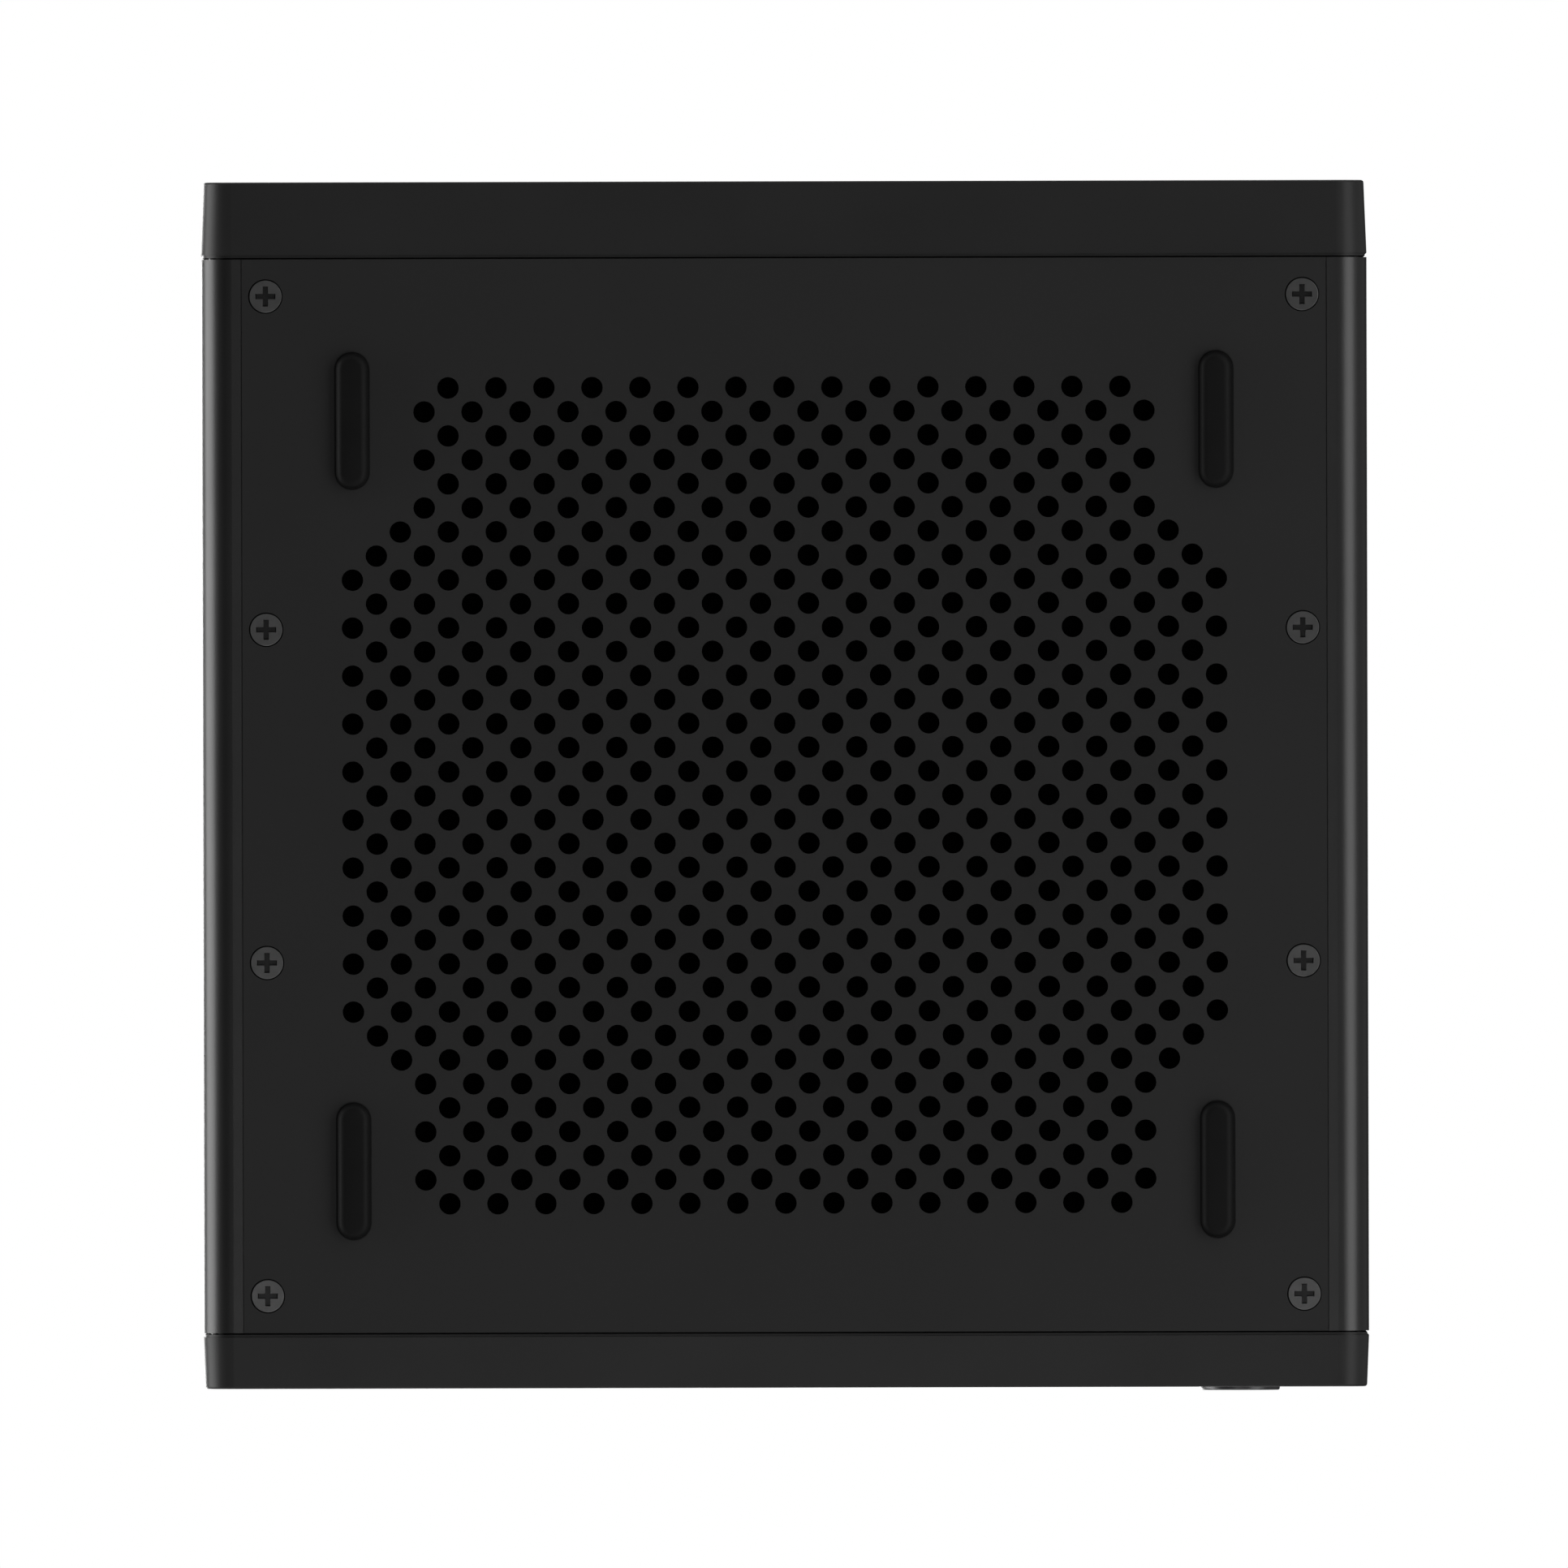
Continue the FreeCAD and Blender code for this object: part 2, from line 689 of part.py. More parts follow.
def make_bezel(rear):
    """An end cap: drafted shell, rebated joint, a neck for the sleeve and two screw lugs."""
    depth = "rear_depth" if rear else "front_depth"
    outward, inward = ("", "-") if rear else ("-", "")

    def plane(distance):
        """A sketch across the cap, this far outward from its inner end."""
        return new_sketch(body, "XZ", lift=f"{inward}({distance})")

    def rim(inset):
        return rounded("0", "body_middle", f"body_width - 2 * {inset}",
                       f"body_height - 2 * {inset}", f"corner_radius - {inset}")

    body = new_body(y="rear_inner" if rear else "front_inner")
    joint = plane("0")
    outline(joint, rim("rebate_depth"))
    pad(body, joint, "rebate_length", back=rear)
    face = plane("rebate_length")
    outline(face, rim("0"))
    shell = pad(body, face, f"{depth} - rebate_length", back=rear)
    bind(shell, TaperAngle="-bezel_draft")
    far = value(depth) - 0.01
    soft = fillet(body, shell, lambda bounds: min(abs(bounds.YMin), abs(bounds.YMax)) > far,
                  "bezel_edge_radius")
    body.Tip = soft
    hollow = plane("0")
    outline(hollow, rim("bezel_wall"))
    pocket(body, hollow, f"{depth} - bezel_wall", back=not rear)

    neck = plane("neck_overlap")
    for inset in ("fit_gap", "(fit_gap + neck_wall)"):
        outline(neck, rounded("0", "(ledge_top + roof) / 2", f"2 * inner_half - 2 * {inset}",
                              f"roof - ledge_top - 2 * {inset}",
                              f"corner_radius - sleeve_wall - {inset}"))
    pad(body, neck, "neck_overlap + end_gap + neck_length", back=not rear)
    lug = new_sketch(body, "XY", lift="lug_under")
    hole_y = "end_gap + screw_end"
    for side in ("", "-"):
        tip, shoulder, root = f"{hole_y} + lug_margin", "neck_length", "-neck_overlap"
        across = ("screw_x - lug_margin", "leg_inner - frame_bend - fit_gap",
                  "inner_half - fit_gap - neck_wall / 2")
        steps = [(0, tip), (1, tip), (1, shoulder), (2, shoulder), (2, root), (0, root)]
        outline(lug, [(f"{side}({across[i]})", f"{inward}({run})") for i, run in steps])
        circle(lug, f"{side}screw_x", f"{inward}({hole_y})", "thread_radius")
    pad(body, lug, "lug_thickness")
    return body


def open_wall(body, rear, openings):
    """Cuts outlines, and circles given as (x, z, radius), through a bezel's flat wall."""
    depth = "rear_depth" if rear else "front_depth"
    profile = new_sketch(body, "XZ", lift=f"{'-' if rear else ''}({depth} + 1)")
    for opening in openings:
        if isinstance(opening, tuple):
            circle(profile, *opening)
        else:
            outline(profile, opening)
    return pocket(body, profile, "bezel_wall + 2", back=rear)


def clear_hole(x, z, width, height):
    """A rectangle around a socket with the usual gap."""
    return square(x, z, f"{width} + 2 * port_gap", f"{height} + 2 * port_gap")


def make_front_bezel():
    body = make_bezel(rear=False)
    usb_z = "board_under - usb_height / 2"
    openings = [("button_x", "front_axis", "button_radius + button_gap"),
                ("light_x", "front_axis", "light_radius"),
                ("audio_x", "front_axis", "audio_barrel_radius + port_gap"),
                clear_hole("front_c_x", "front_axis", "usb_c_width", "usb_c_height")]
    for i in (0, 1):
        openings.append(clear_hole(f"front_usb_x + {i} * (usb_width + 6)", usb_z,
                                   "usb_width", "usb_height"))
    open_wall(body, False, openings)
    return body


def make_rear_bezel():
    body = make_bezel(rear=True)
    window = square("(shield_left + shield_right) / 2", "(shield_low + shield_high) / 2",
                    "shield_right - shield_left - 2 * shield_margin",
                    "shield_high - shield_low - 2 * shield_margin")
    open_wall(body, True, [window])
    # One row of slots along the top, and a shorter one behind the cooler's fins.
    top_count = "floor((2 * half - 2 * vent_slot_margin) / vent_slot_pitch) + 1"
    fin_count = "floor(fin_width / vent_slot_pitch)"
    rows = [(top_count, "0", "shield_high + 4 + vent_slot_height / 2"),
            (fin_count, "blower_x", "fin_under + fin_height / 2")]
    for count, centre, level in rows:
        span = f"({count} - 1) * vent_slot_pitch"
        slot = open_wall(body, True, [rounded(f"{centre} - {span} / 2", level, "vent_slot_width",
                                              "vent_slot_height", "vent_slot_width * 0.48")])
        grid(body, [slot], count, span)
    return body


def make_rear_shield():
    """The steel plate behind the rear window, pierced for every socket."""
    plate = box("shield_left", "rear_wall - shield_sheet", "shield_low",
                "shield_right - shield_left", "shield_sheet", "shield_high - shield_low")
    holes = []
    for x, width, height in (("rear_c_x", "usb_c_width", "usb_c_height"),
                             ("lan_x", "lan_width", "lan_height"),
                             ("stack_x", "stack_width", "stack_height"),
                             ("hdmi_x", "hdmi_width", "hdmi_height"),
                             ("inlet_x", "inlet_width", "inlet_height")):
        holes.append(box(f"{x} - {width} / 2 - port_gap", "rear_wall - 2 * shield_sheet",
                         f"board_under - {height} - port_gap", f"{width} + 2 * port_gap",
                         "3 * shield_sheet", f"{height} + 2 * port_gap"))
    return cut(plate, holes)


# ---------------------------------------------------------------- frame and boards
def board_holes():
    """The mainboard's six fixing places."""
    inset = "board_half - hole_inset"
    levels = ("board_front + hole_inset", "(board_front + board_rear) / 2 - port_space / 2",
              "board_rear - port_space")
    return [(f"{side}({inset})", level) for side in ("", "-") for level in levels]


def front_board_holes():
    level = "front_board_rear - hole_inset"
    return [("front_board_left + hole_inset", level),
            ("front_board_left + front_board_length - hole_inset", level)]


def make_inner_frame():
    """A folded channel whose flanges lie on the sleeve's ledges, with press nuts for screws."""
    body = new_body(y="mid")
    profile = new_sketch(body, "XZ")
    bend, outer_bend = "frame_bend", "frame_bend + frame_sheet"
    inner_edge = "ledge_edge + run_gap"
    right = [("leg_inner", "web_under", bend), ("leg_inner", "lug_under", bend),
             (inner_edge, "lug_under"), (inner_edge, "ledge_top"),
             ("frame_half", "ledge_top", outer_bend), ("frame_half", "web_top", outer_bend)]
    left = [(f"-({corner[0]})", *corner[1:]) for corner in reversed(right)]
    outline(profile, right + left)
    pad(body, profile, "2 * frame_end", both=True)
    nuts = new_sketch(body, "XY", lift="lug_under")
    spacing = "2 * screw_y / (screw_rows - 1)"
    circle(nuts, "-screw_x", f"-screw_y + {spacing}", "nut_radius")
    nut = pad(body, nuts, "nut_height")
    grid(body, [nut], "2", "2 * screw_x", "screw_rows - 2", f"2 * screw_y - 2 * {spacing}")
    threads = new_sketch(body, "XY", lift="ledge_top - 1")
    circle(threads, "-screw_x", "-screw_y", "thread_radius")
    thread = pocket(body, threads, "frame_sheet + nut_height + 2", back=True)
    grid(body, [thread], "2", "2 * screw_x", "screw_rows", "2 * screw_y")
    panes = new_sketch(body, "XY", lift="web_top + 1")
    outline(panes, rounded("-window_pitch_x / 2", "-window_pitch_y / 2", "window_width",
                           "window_length", "window_corner"))
    pane = pocket(body, panes, "frame_sheet + 2")
    grid(body, [pane], "2", "window_pitch_x", "2", "window_pitch_y")
    passes = new_sketch(body, "XY", lift="web_top + 1")
    for along in ("rear_lead_step", "front_lead_step"):
        circle(passes, "lead_x", f"radio_y + {along} - mid", "lead_radius + 1")
    pocket(body, passes, "frame_sheet + 2")
    return body


def make_standoffs():
    pieces = []
    for x, y in board_holes() + front_board_holes():
        post = rod(x, y, "board_top", "standoff_radius", "standoff_height")
        bore = rod(x, y, "board_top", "small_thread_radius", "standoff_height")
        pieces.append(cut(post, [bore]))
    return group(pieces)


def pan_screw(x, y, seat, length, upward=True):
    """A pan-head cross screw whose head bears on the seat level."""
    sign, head_low = ("+", f"{seat} - pan_head_height") if upward else ("-", seat)
    shank_low = seat if upward else f"{seat} - ({length})"
    head = rod(x, y, head_low, "pan_head_radius", "pan_head_height")
    shank = rod(x, y, shank_low, "small_thread_radius", length)
    slot_low = head_low if upward else f"{seat} + pan_head_height / 2"
    slots = [centred_box(x, y, slot_low, along, across, "pan_head_height / 2")
             for along, across in (("pan_head_radius", "0.6"), ("0.6", "pan_head_radius"))]
    return cut(fuse([head, shank]), slots)


def make_board_screws():
    places = board_holes() + front_board_holes()
    return group([pan_screw(x, y, "board_under", "small_screw_length") for x, y in places])


def drilled(board, places, under, thickness):
    """A board with a screw hole at each place."""
    holes = [rod(x, y, f"{under} - 1", "small_thread_radius", f"{thickness} + 2")
             for x, y in places]
    return cut(board, holes)


def cooler_holes():
    return [(f"plate_x {a} (plate_hole)", f"blower_y {b} (plate_hole)")
            for a in "+-" for b in "+-"]


def blower_posts():
    """Three posts at the blower's corners; the fourth corner lies under the cold plate."""
    reach = "(blower_size / 2 - blower_corner)"
    return [(f"blower_x - {reach}", f"blower_y - {reach}"),
            (f"blower_x - {reach}", f"blower_y + {reach}"),
            (f"blower_x + {reach}", f"blower_y - {reach}")]


def make_mainboard():
    """The circuit board with its soldered chips, coils and cable sockets."""
    blank = box("-board_half", "board_front", "board_under", "2 * board_half",
                "board_rear - board_front", "board_thickness")
    chips = [("board_half - 8", "radio_y + 14", "9", "9", "1.2"),
             ("coin_x + 16", "coin_y + 2", "7", "7", "1.2"),
             ("lan_x", "coin_y + 2", "7", "7", "1"),
             ("stack_x", "coin_y + 4", "6", "6", "1")]
    for i in range(5):
        chips.append(("plate_x + plate_size / 2 + 5", f"blower_y - 16 + {i} * 8",
                      "6.5", "6.5", "3"))
    parts = [centred_box(x, y, f"board_under - {tall}", length, width, tall)
             for x, y, length, width, tall in chips]
    plug = centred_box("flex_x + 16", "flex_y", "board_top", "5", "flex_width + 2", "plug_height")
    link = centred_box("0", "board_front + 4", "board_top", "flex_width + 2", "4", "plug_height")
    board = fuse([blank] + parts + [plug, link])
    places = board_holes() + cooler_holes() + blower_posts()
    return drilled(board, places, "board_under", "board_thickness")


def make_front_board():
    blank = box("front_board_left", "front_board_front", "board_under", "front_board_length",
                "front_board_depth", "board_thickness")
    link = centred_box("0", "front_board_rear - 4", "board_top", "flex_width + 2", "4",
                       "plug_height")
    return drilled(fuse([blank, link]), front_board_holes(), "board_under", "board_thickness")


# ---------------------------------------------------------------- processor cooler
def make_package():
    return fuse([centred_box("plate_x", "blower_y", "package_under", "package_width",
                             "package_length", "package_height"),
                 centred_box("plate_x", "blower_y", "plate_top", "die_size", "die_size",
                             "die_height")])


def make_cold_plate():
    plate = centred_box("plate_x", "blower_y", "plate_under", "plate_size", "plate_size",
                        "plate_thickness")
    return drilled(plate, cooler_holes(), "plate_under", "plate_thickness")


def make_heat_pipe(index):
    """A flattened pipe from the cold plate, round a bend and out over the fins."""
    offset = f"{index} * pipe_spacing"
    x, bend = f"pipe_x + {offset}", f"pipe_bend_radius + {offset}"
    turn_y = f"fin_y - pipe_spacing / 2 + {offset}"
    start_y, end_x = "blower_y - plate_size / 2", "blower_x - fin_width / 2"
    body = new_body(z="pipe_under")
    path = new_sketch(body, "XY", lift="pipe_height / 2")
    corner, turned_x = f"{turn_y} - ({bend})", f"{x} - ({bend})"
    rise = Part.LineSegment(vector((x, start_y)), vector((x, corner)))
    run = path.addGeometry(rise, False)
    level = Part.LineSegment(vector((turned_x, turn_y)), vector((end_x, turn_y)))
    out = path.addGeometry(level, False)
    ring = Part.Circle(vector((turned_x, corner)), FreeCAD.Vector(0, 0, 1), value(bend))
    arc = path.addGeometry(Part.ArcOfCircle(ring, 0, math.pi / 2), False)
    pin_point(path, run, 1, (x, start_y))
    pin_point(path, run, 2, (x, corner))
    pin_point(path, out, 1, (turned_x, turn_y))
    pin_point(path, out, 2, (end_x, turn_y))
    join(path, arc, 1, run, 2)
    join(path, arc, 2, out, 1)
    dimension(path, "Radius", (arc,), bend)
    section = new_sketch(body, "XZ", lift=f"-({start_y})")
    outline(section, rounded(x, "pipe_height / 2", "pipe_width", "pipe_height",
                             "pipe_height * 0.45"))
    doc.recompute()
    pipe = body.newObject("PartDesign::AdditivePipe", "Pipe")
    pipe.Profile = section
    pipe.Spine = (path, ["Edge1", "Edge2", "Edge3"])
    return body


def make_fin_stack():
    """Thin upright fins between a top and a bottom sheet."""
    body = new_body(x="blower_x", y="fin_y", z="fin_under")
    blade = new_sketch(body, "XY")
    outline(blade, square("-(fin_width - fin_thickness) / 2", "0", "fin_thickness", "fin_depth"))
    fin = pad(body, blade, "fin_height")
    for lift in ("0", "fin_height - fin_thickness"):
        sheet_profile = new_sketch(body, "XY", lift=lift)
        outline(sheet_profile, square("0", "0", "fin_width", "fin_depth"))
        pad(body, sheet_profile, "fin_thickness")
    grid(body, [fin], "floor(fin_width / fin_pitch) + 1", "fin_width - fin_thickness")
    return body


def make_blower_housing():
    """The blower's scroll: a round chamber with an outlet towards the fins, and its posts."""
    body = new_body(x="blower_x", y="blower_y", z="blower_under + blower_wall")
    profile = new_sketch(body, "XY")
    outline(profile, rounded("0", "0", "blower_size", "blower_size", "blower_corner / 2"))
    pad(body, profile, "blower_height - blower_wall")
    chamber = new_sketch(body, "XY", lift="-1")
    circle(chamber, "0", "0", "rotor_radius + rotor_sweep_gap")
    cavity_height = "blower_height - 2 * blower_wall + 1"
    pocket(body, chamber, cavity_height, back=True)
    outlet = new_sketch(body, "XY", lift="-1")
    outline(outlet, square("0", "blower_size / 2", "fin_width", "blower_size"))
    pocket(body, outlet, cavity_height, back=True)
    posts = new_sketch(body, "XY", lift="blower_height - blower_wall")
    for x, y in blower_posts():
        circle(posts, f"{x} - blower_x", f"{y} - blower_y", "spacer_radius")
        circle(posts, f"{x} - blower_x", f"{y} - blower_y", "small_thread_radius")
    pad(body, posts, "board_under - blower_top")
    shaft = new_sketch(body, "XY", lift="axial_gap + blower_wall")
    circle(shaft, "0", "0", "shaft_radius")
    pad(body, shaft, "rotor_height + axial_gap - blower_wall")
    return body


def make_blower_lid():
    """The blower's lower cover, with the inlet over the panel's vents."""
    body = new_body(x="blower_x", y="blower_y", z="blower_under")
    profile = new_sketch(body, "XY")
    outline(profile, rounded("0", "0", "blower_size", "blower_size", "blower_corner / 2"))
    circle(profile, "0", "0", "rotor_eye_radius")
    pad(body, profile, "blower_wall")
    return body


def make_blower_rotor():
    """A hub, a top disc and a ring of thin blades, bored for the shaft."""
    body = new_body(x="blower_x", y="blower_y", z="rotor_under")
    hub = new_sketch(body, "XY")
    circle(hub, "0", "0", "hub_radius")
    pad(body, hub, "rotor_height")
    disc = new_sketch(body, "XY", lift="rotor_height - rotor_disc")
    circle(disc, "0", "0", "rotor_radius")
    pad(body, disc, "rotor_disc")
    vane = new_sketch(body, "XY")
    outline(vane, square("(rotor_eye_radius + rotor_radius - 0.4) / 2", "0",
                         "rotor_radius - rotor_eye_radius - 0.4", "blade_thickness"))
    blade = pad(body, vane, "rotor_height")
    ring_of(body, [blade], "blade_count")
    bore = new_sketch(body, "XY", lift="rotor_height")
    circle(bore, "0", "0", "shaft_radius + shaft_gap")
    pocket(body, bore, "rotor_height - blower_wall + shaft_gap")
    return body


def make_cooler_screws():
    """Cold plate screws from below, and blower screws down through the mainboard."""
    through_plate = "plate_thickness + board_under - plate_top + board_thickness"
    pieces = [pan_screw(x, y, "plate_under", through_plate) for x, y in cooler_holes()]
    for x, y in blower_posts():
        pieces.append(pan_screw(x, y, "board_top", "board_thickness + 5", upward=False))
    return group(pieces)


# ---------------------------------------------------------------- drive fan
def make_fan_frame():
    """A square frame with a motor mount held by four struts above the rotor."""
    body = new_body(x="fan_x", y="fan_y", z="blower_under")
    profile = new_sketch(body, "XY")
    outline(profile, rounded("0", "0", "fan_size", "fan_size", "4"))
    circle(profile, "0", "0", "fan_bore_radius")
    pad(body, profile, "fan_thickness")
    corners = new_sketch(body, "XY", lift="-1")
    for a in ("", "-"):
        for b in ("", "-"):
            circle(corners, f"{a}fan_hole_pitch / 2", f"{b}fan_hole_pitch / 2", "fan_hole_radius")
    pocket(body, corners, "fan_thickness + 2", back=True)
    for length, width in (("fan_size - 2", "fan_strut_width"), ("fan_strut_width", "fan_size - 2")):
        strut = new_sketch(body, "XY", lift="fan_thickness - fan_mount_thickness")
        outline(strut, square("0", "0", length, width))
        pad(body, strut, "fan_mount_thickness")
    mount = new_sketch(body, "XY", lift="fan_thickness - fan_mount_thickness")
    circle(mount, "0", "0", "fan_hub_radius")
    pad(body, mount, "fan_mount_thickness")
    shaft = new_sketch(body, "XY", lift="fan_mount_thickness")
    circle(shaft, "0", "0", "shaft_radius")
    pad(body, shaft, "fan_thickness - 2 * fan_mount_thickness")
    return body


def make_fan_rotor():
    """A hub and tilted blades, bored for the shaft."""
    height = "fan_thickness - fan_mount_thickness - 2 * axial_gap"
    body = new_body(x="fan_x", y="fan_y", z="blower_under + axial_gap")
    hub = new_sketch(body, "XY")
    circle(hub, "0", "0", "fan_hub_radius")
    pad(body, hub, height)
    # The blade's section lies across the X axis and runs outwards from inside the hub.
    vane = new_sketch(body, "YZ", lift="fan_hub_radius - 2")
    rise = f"({height})"
    outline(vane, [(f"-{rise} * 0.55 - blade_thickness", "0.2"), (f"-{rise} * 0.55", "0.2"),
                   (f"{rise} * 0.55", f"{rise} - 0.2"),
                   (f"{rise} * 0.55 - blade_thickness", f"{rise} - 0.2")])
    blade = pad(body, vane, "fan_bore_radius - fan_hub_radius + 2 - 2 * run_gap")
    ring_of(body, [blade], "fan_blade_count")
    trim = new_sketch(body, "XY", lift="-1")
    circle(trim, "0", "0", "fan_bore_radius + 5")
    circle(trim, "0", "0", "fan_bore_radius - 2 * run_gap")
    pocket(body, trim, f"{height} + 2", back=True)
    bore = new_sketch(body, "XY", lift=height)
    circle(bore, "0", "0", "shaft_radius + shaft_gap")
    pocket(body, bore, f"{height} - fan_mount_thickness + axial_gap + shaft_gap")
    return body


def make_fan_spacers():
    """Stepped rubber spacers: a shoulder under the board and a stem through the fan frame."""
    pieces = []
    for a in "+-":
        for b in "+-":
            x, y = f"fan_x {a} fan_hole_pitch / 2", f"fan_y {b} fan_hole_pitch / 2"
            pieces.append(fuse([rod(x, y, "fan_top", "spacer_radius", "board_under - fan_top"),
                                rod(x, y, "blower_under", "fan_hole_radius", "fan_thickness")]))
    return group(pieces)


# ---------------------------------------------------------------- memory, drives and cards
def make_ram_socket(index):
    y = f"ram_y + {index} * ram_pitch"
    block = box("ram_x - ram_socket_length / 2", y, "board_under - ram_socket_height",
                "ram_socket_length", "ram_socket_depth", "ram_socket_height")
    slot = box("ram_x - ram_length / 2", f"{y} + ram_socket_depth - ram_seat", "ram_under",
               "ram_length", "ram_seat + 1", "ram_thickness")
    return cut(block, [slot])


def make_ram_module(index):
    y = f"ram_y + {index} * ram_pitch + ram_socket_depth - ram_seat"
    card = box("ram_x - ram_length / 2", y, "ram_under", "ram_length", "ram_depth",
               "ram_thickness")
    chips = [centred_box(f"ram_x - 25.5 + {i} * 17", f"{y} + 17", "ram_under - ram_chip_thickness",
                         "ram_chip_width", "14", "ram_chip_thickness") for i in range(4)]
    return fuse([card] + chips)


def make_ram_latch(index, side):
    """A sprung arm beside the module, hooked under its edge at the far end."""
    start = f"ram_y + {index} * ram_pitch + ram_socket_depth + run_gap"
    inner = f"ram_x {side} ram_edge"
    lowest = "ram_under - run_gap - 0.8"
    arm_x = inner if side == "+" else f"{inner} - latch_thickness"
    hook_x = "ram_x + ram_edge - latch_hook" if side == "+" else "ram_x - ram_edge"
    arm = box(arm_x, start, lowest, "latch_thickness", "latch_length", "latch_height")
    hook = box(hook_x, f"{start} + latch_length - 4", lowest, "latch_hook", "4", "0.8")
    return fuse([arm, hook])


def make_card_sockets():
    """The sockets of the two drives and of the radio card."""
    drop = "board_under - card_socket_height"
    pieces = []
    for i in (0, 1):
        y = f"card_y + {i} * card_pitch"
        block = box("card_x", f"{y} - card_width / 2", drop, "card_socket_depth", "card_width",
                    "card_socket_height")
        slot = box("card_x + card_socket_depth - card_seat", f"{y} - card_width / 2 - 1",
                   "card_under", "card_seat + 1", "card_width + 2", "card_thickness")
        pieces.append(cut(block, [slot]))
    block = centred_box("radio_x", "radio_y", drop, "card_width", "card_socket_depth",
                        "card_socket_height")
    slot = centred_box("radio_x", "radio_y + card_socket_depth / 2", "card_under",
                       "card_width + 2", "2 * card_seat", "card_thickness")
    pieces.append(cut(block, [slot]))
    return group(pieces)


def make_drive_card(index):
    """A solid-state drive with its chips below and a half-round screw notch."""
    start, y = "card_x + card_socket_depth - card_seat", f"card_y + {index} * card_pitch"
    card = box(start, f"{y} - card_width / 2", "card_under", "card_length", "card_width",
               "card_thickness")
    chips = [centred_box(f"{start} + {along}", y, "card_under - card_chip_thickness", length,
                         "card_width - 6", "card_chip_thickness")
             for along, length in ((14, 12), (34, 18), (56, 18))]
    notch = rod(f"{start} + card_length", y, "card_under - 1", "card_notch_radius", "3")
    return cut(fuse([card] + chips), [notch])


def card_screw_places():
    end = "card_x + card_socket_depth - card_seat + card_length"
    places = [(end, f"card_y + {i} * card_pitch") for i in (0, 1)]
    return places + [("radio_x", "radio_y + card_socket_depth / 2 - card_seat + radio_length")]


def make_card_screws():
    """Shouldered screws that hold each card's free end at its height."""
    pieces = []
    for x, y in card_screw_places():
        shank = rod(x, y, "card_under", "card_notch_radius", "board_under - card_under")
        head = rod(x, y, "card_under - 0.8", "pan_head_radius", "0.8")
        pieces.append(fuse([shank, head]))
    return group(pieces)


def make_radio_card():
    start = "radio_y + card_socket_depth / 2 - card_seat"
    card = box("radio_x - card_width / 2", start, "card_under", "card_width", "radio_length",
               "card_thickness")
    can = centred_box("radio_x", f"{start} + 15", "card_under - 1.4", "15", "14", "1.4")
    notch = rod("radio_x", f"{start} + radio_length", "card_under - 1", "card_notch_radius", "3")
    return cut(fuse([card, can]), [notch])


def make_coin_cell():
    return rod("coin_x", "coin_y", "board_under - coin_height", "coin_radius", "coin_height")


def make_antennas():
    """Thin patches on the bezels' inner faces, which radio waves can pass."""
    return group([centred_box("antenna_x", level, "antenna_z", "antenna_width",
                              "antenna_thickness", "antenna_height")
                  for level in ("rear_wall - antenna_thickness / 2",
                                "front_wall + antenna_thickness / 2")])


def lead(points, radius, bend):
    """A round lead along straight runs joined by tangent arcs at the inner points."""
    edges, start = [], points[0]
    for before, corner, after in zip(points, points[1:], points[2:]):
        inward = (before - corner).normalize()
        onward = (after - corner).normalize()
        first, last = corner + inward * bend, corner + onward * bend
        middle = corner + (inward + onward) * bend * (1 - math.sqrt(0.5))
        edges += [Part.makeLine(start, first), Part.Arc(first, middle, last).toShape()]
        start = last
    edges.append(Part.makeLine(start, points[-1]))
    path = Part.Wire(edges)
    ring = Part.Wire(Part.makeCircle(radius, points[0], points[1] - points[0]))
    return path.makePipeShell([ring], True, False)


def make_antenna_leads():
    """Two coaxial leads: out of the radio card, up beside the board and along to each end."""
    sizes = {name: value(name) for name in ("radio_x", "radio_y", "lead_x", "antenna_x",
                                            "antenna_z", "card_width", "card_under",
                                            "antenna_thickness", "rear_wall", "front_wall",
                                            "lead_radius", "lead_bend_radius",
                                            "rear_lead_step", "front_lead_step")}
    solids = []
    for end_name, side in (("rear", -1), ("front", 1)):
        x = sizes["radio_x"] + sizes["card_width"] / 2
        y = sizes["radio_y"] + sizes[f"{end_name}_lead_step"]
        low = sizes["card_under"] + 0.4
        high = sizes["antenna_z"] + 4
        end_y = sizes[f"{end_name}_wall"] + side * sizes["antenna_thickness"]
        points = [FreeCAD.Vector(x, y, low), FreeCAD.Vector(sizes["lead_x"], y, low),
                  FreeCAD.Vector(sizes["lead_x"], y, high),
                  FreeCAD.Vector(sizes["lead_x"], end_y, high)]
        solids.append(lead(points, sizes["lead_radius"], sizes["lead_bend_radius"]))
    made = doc.addObject("Part::Feature", "Leads")
    made.Shape = Part.makeCompound(solids)
    return made


# ---------------------------------------------------------------- drive bay and flat cables
def make_caddy():
    """A steel tray on the frame with a lip on each long side."""
    base = centred_box("drive_x", "mid", "web_top", "bay_drive_length",
                       "bay_drive_width + 2 * caddy_sheet", "caddy_sheet")
    lips = [centred_box("drive_x", f"mid {side} (bay_drive_width + caddy_sheet) / 2",
                        "web_top", "bay_drive_length", "caddy_sheet", "caddy_sheet + caddy_lip")
            for side in "+-"]
    return fuse([base] + lips)


def make_bay_drive():
    return centred_box("drive_x", "mid", "drive_under", "bay_drive_length", "bay_drive_width",
                       "bay_drive_height")


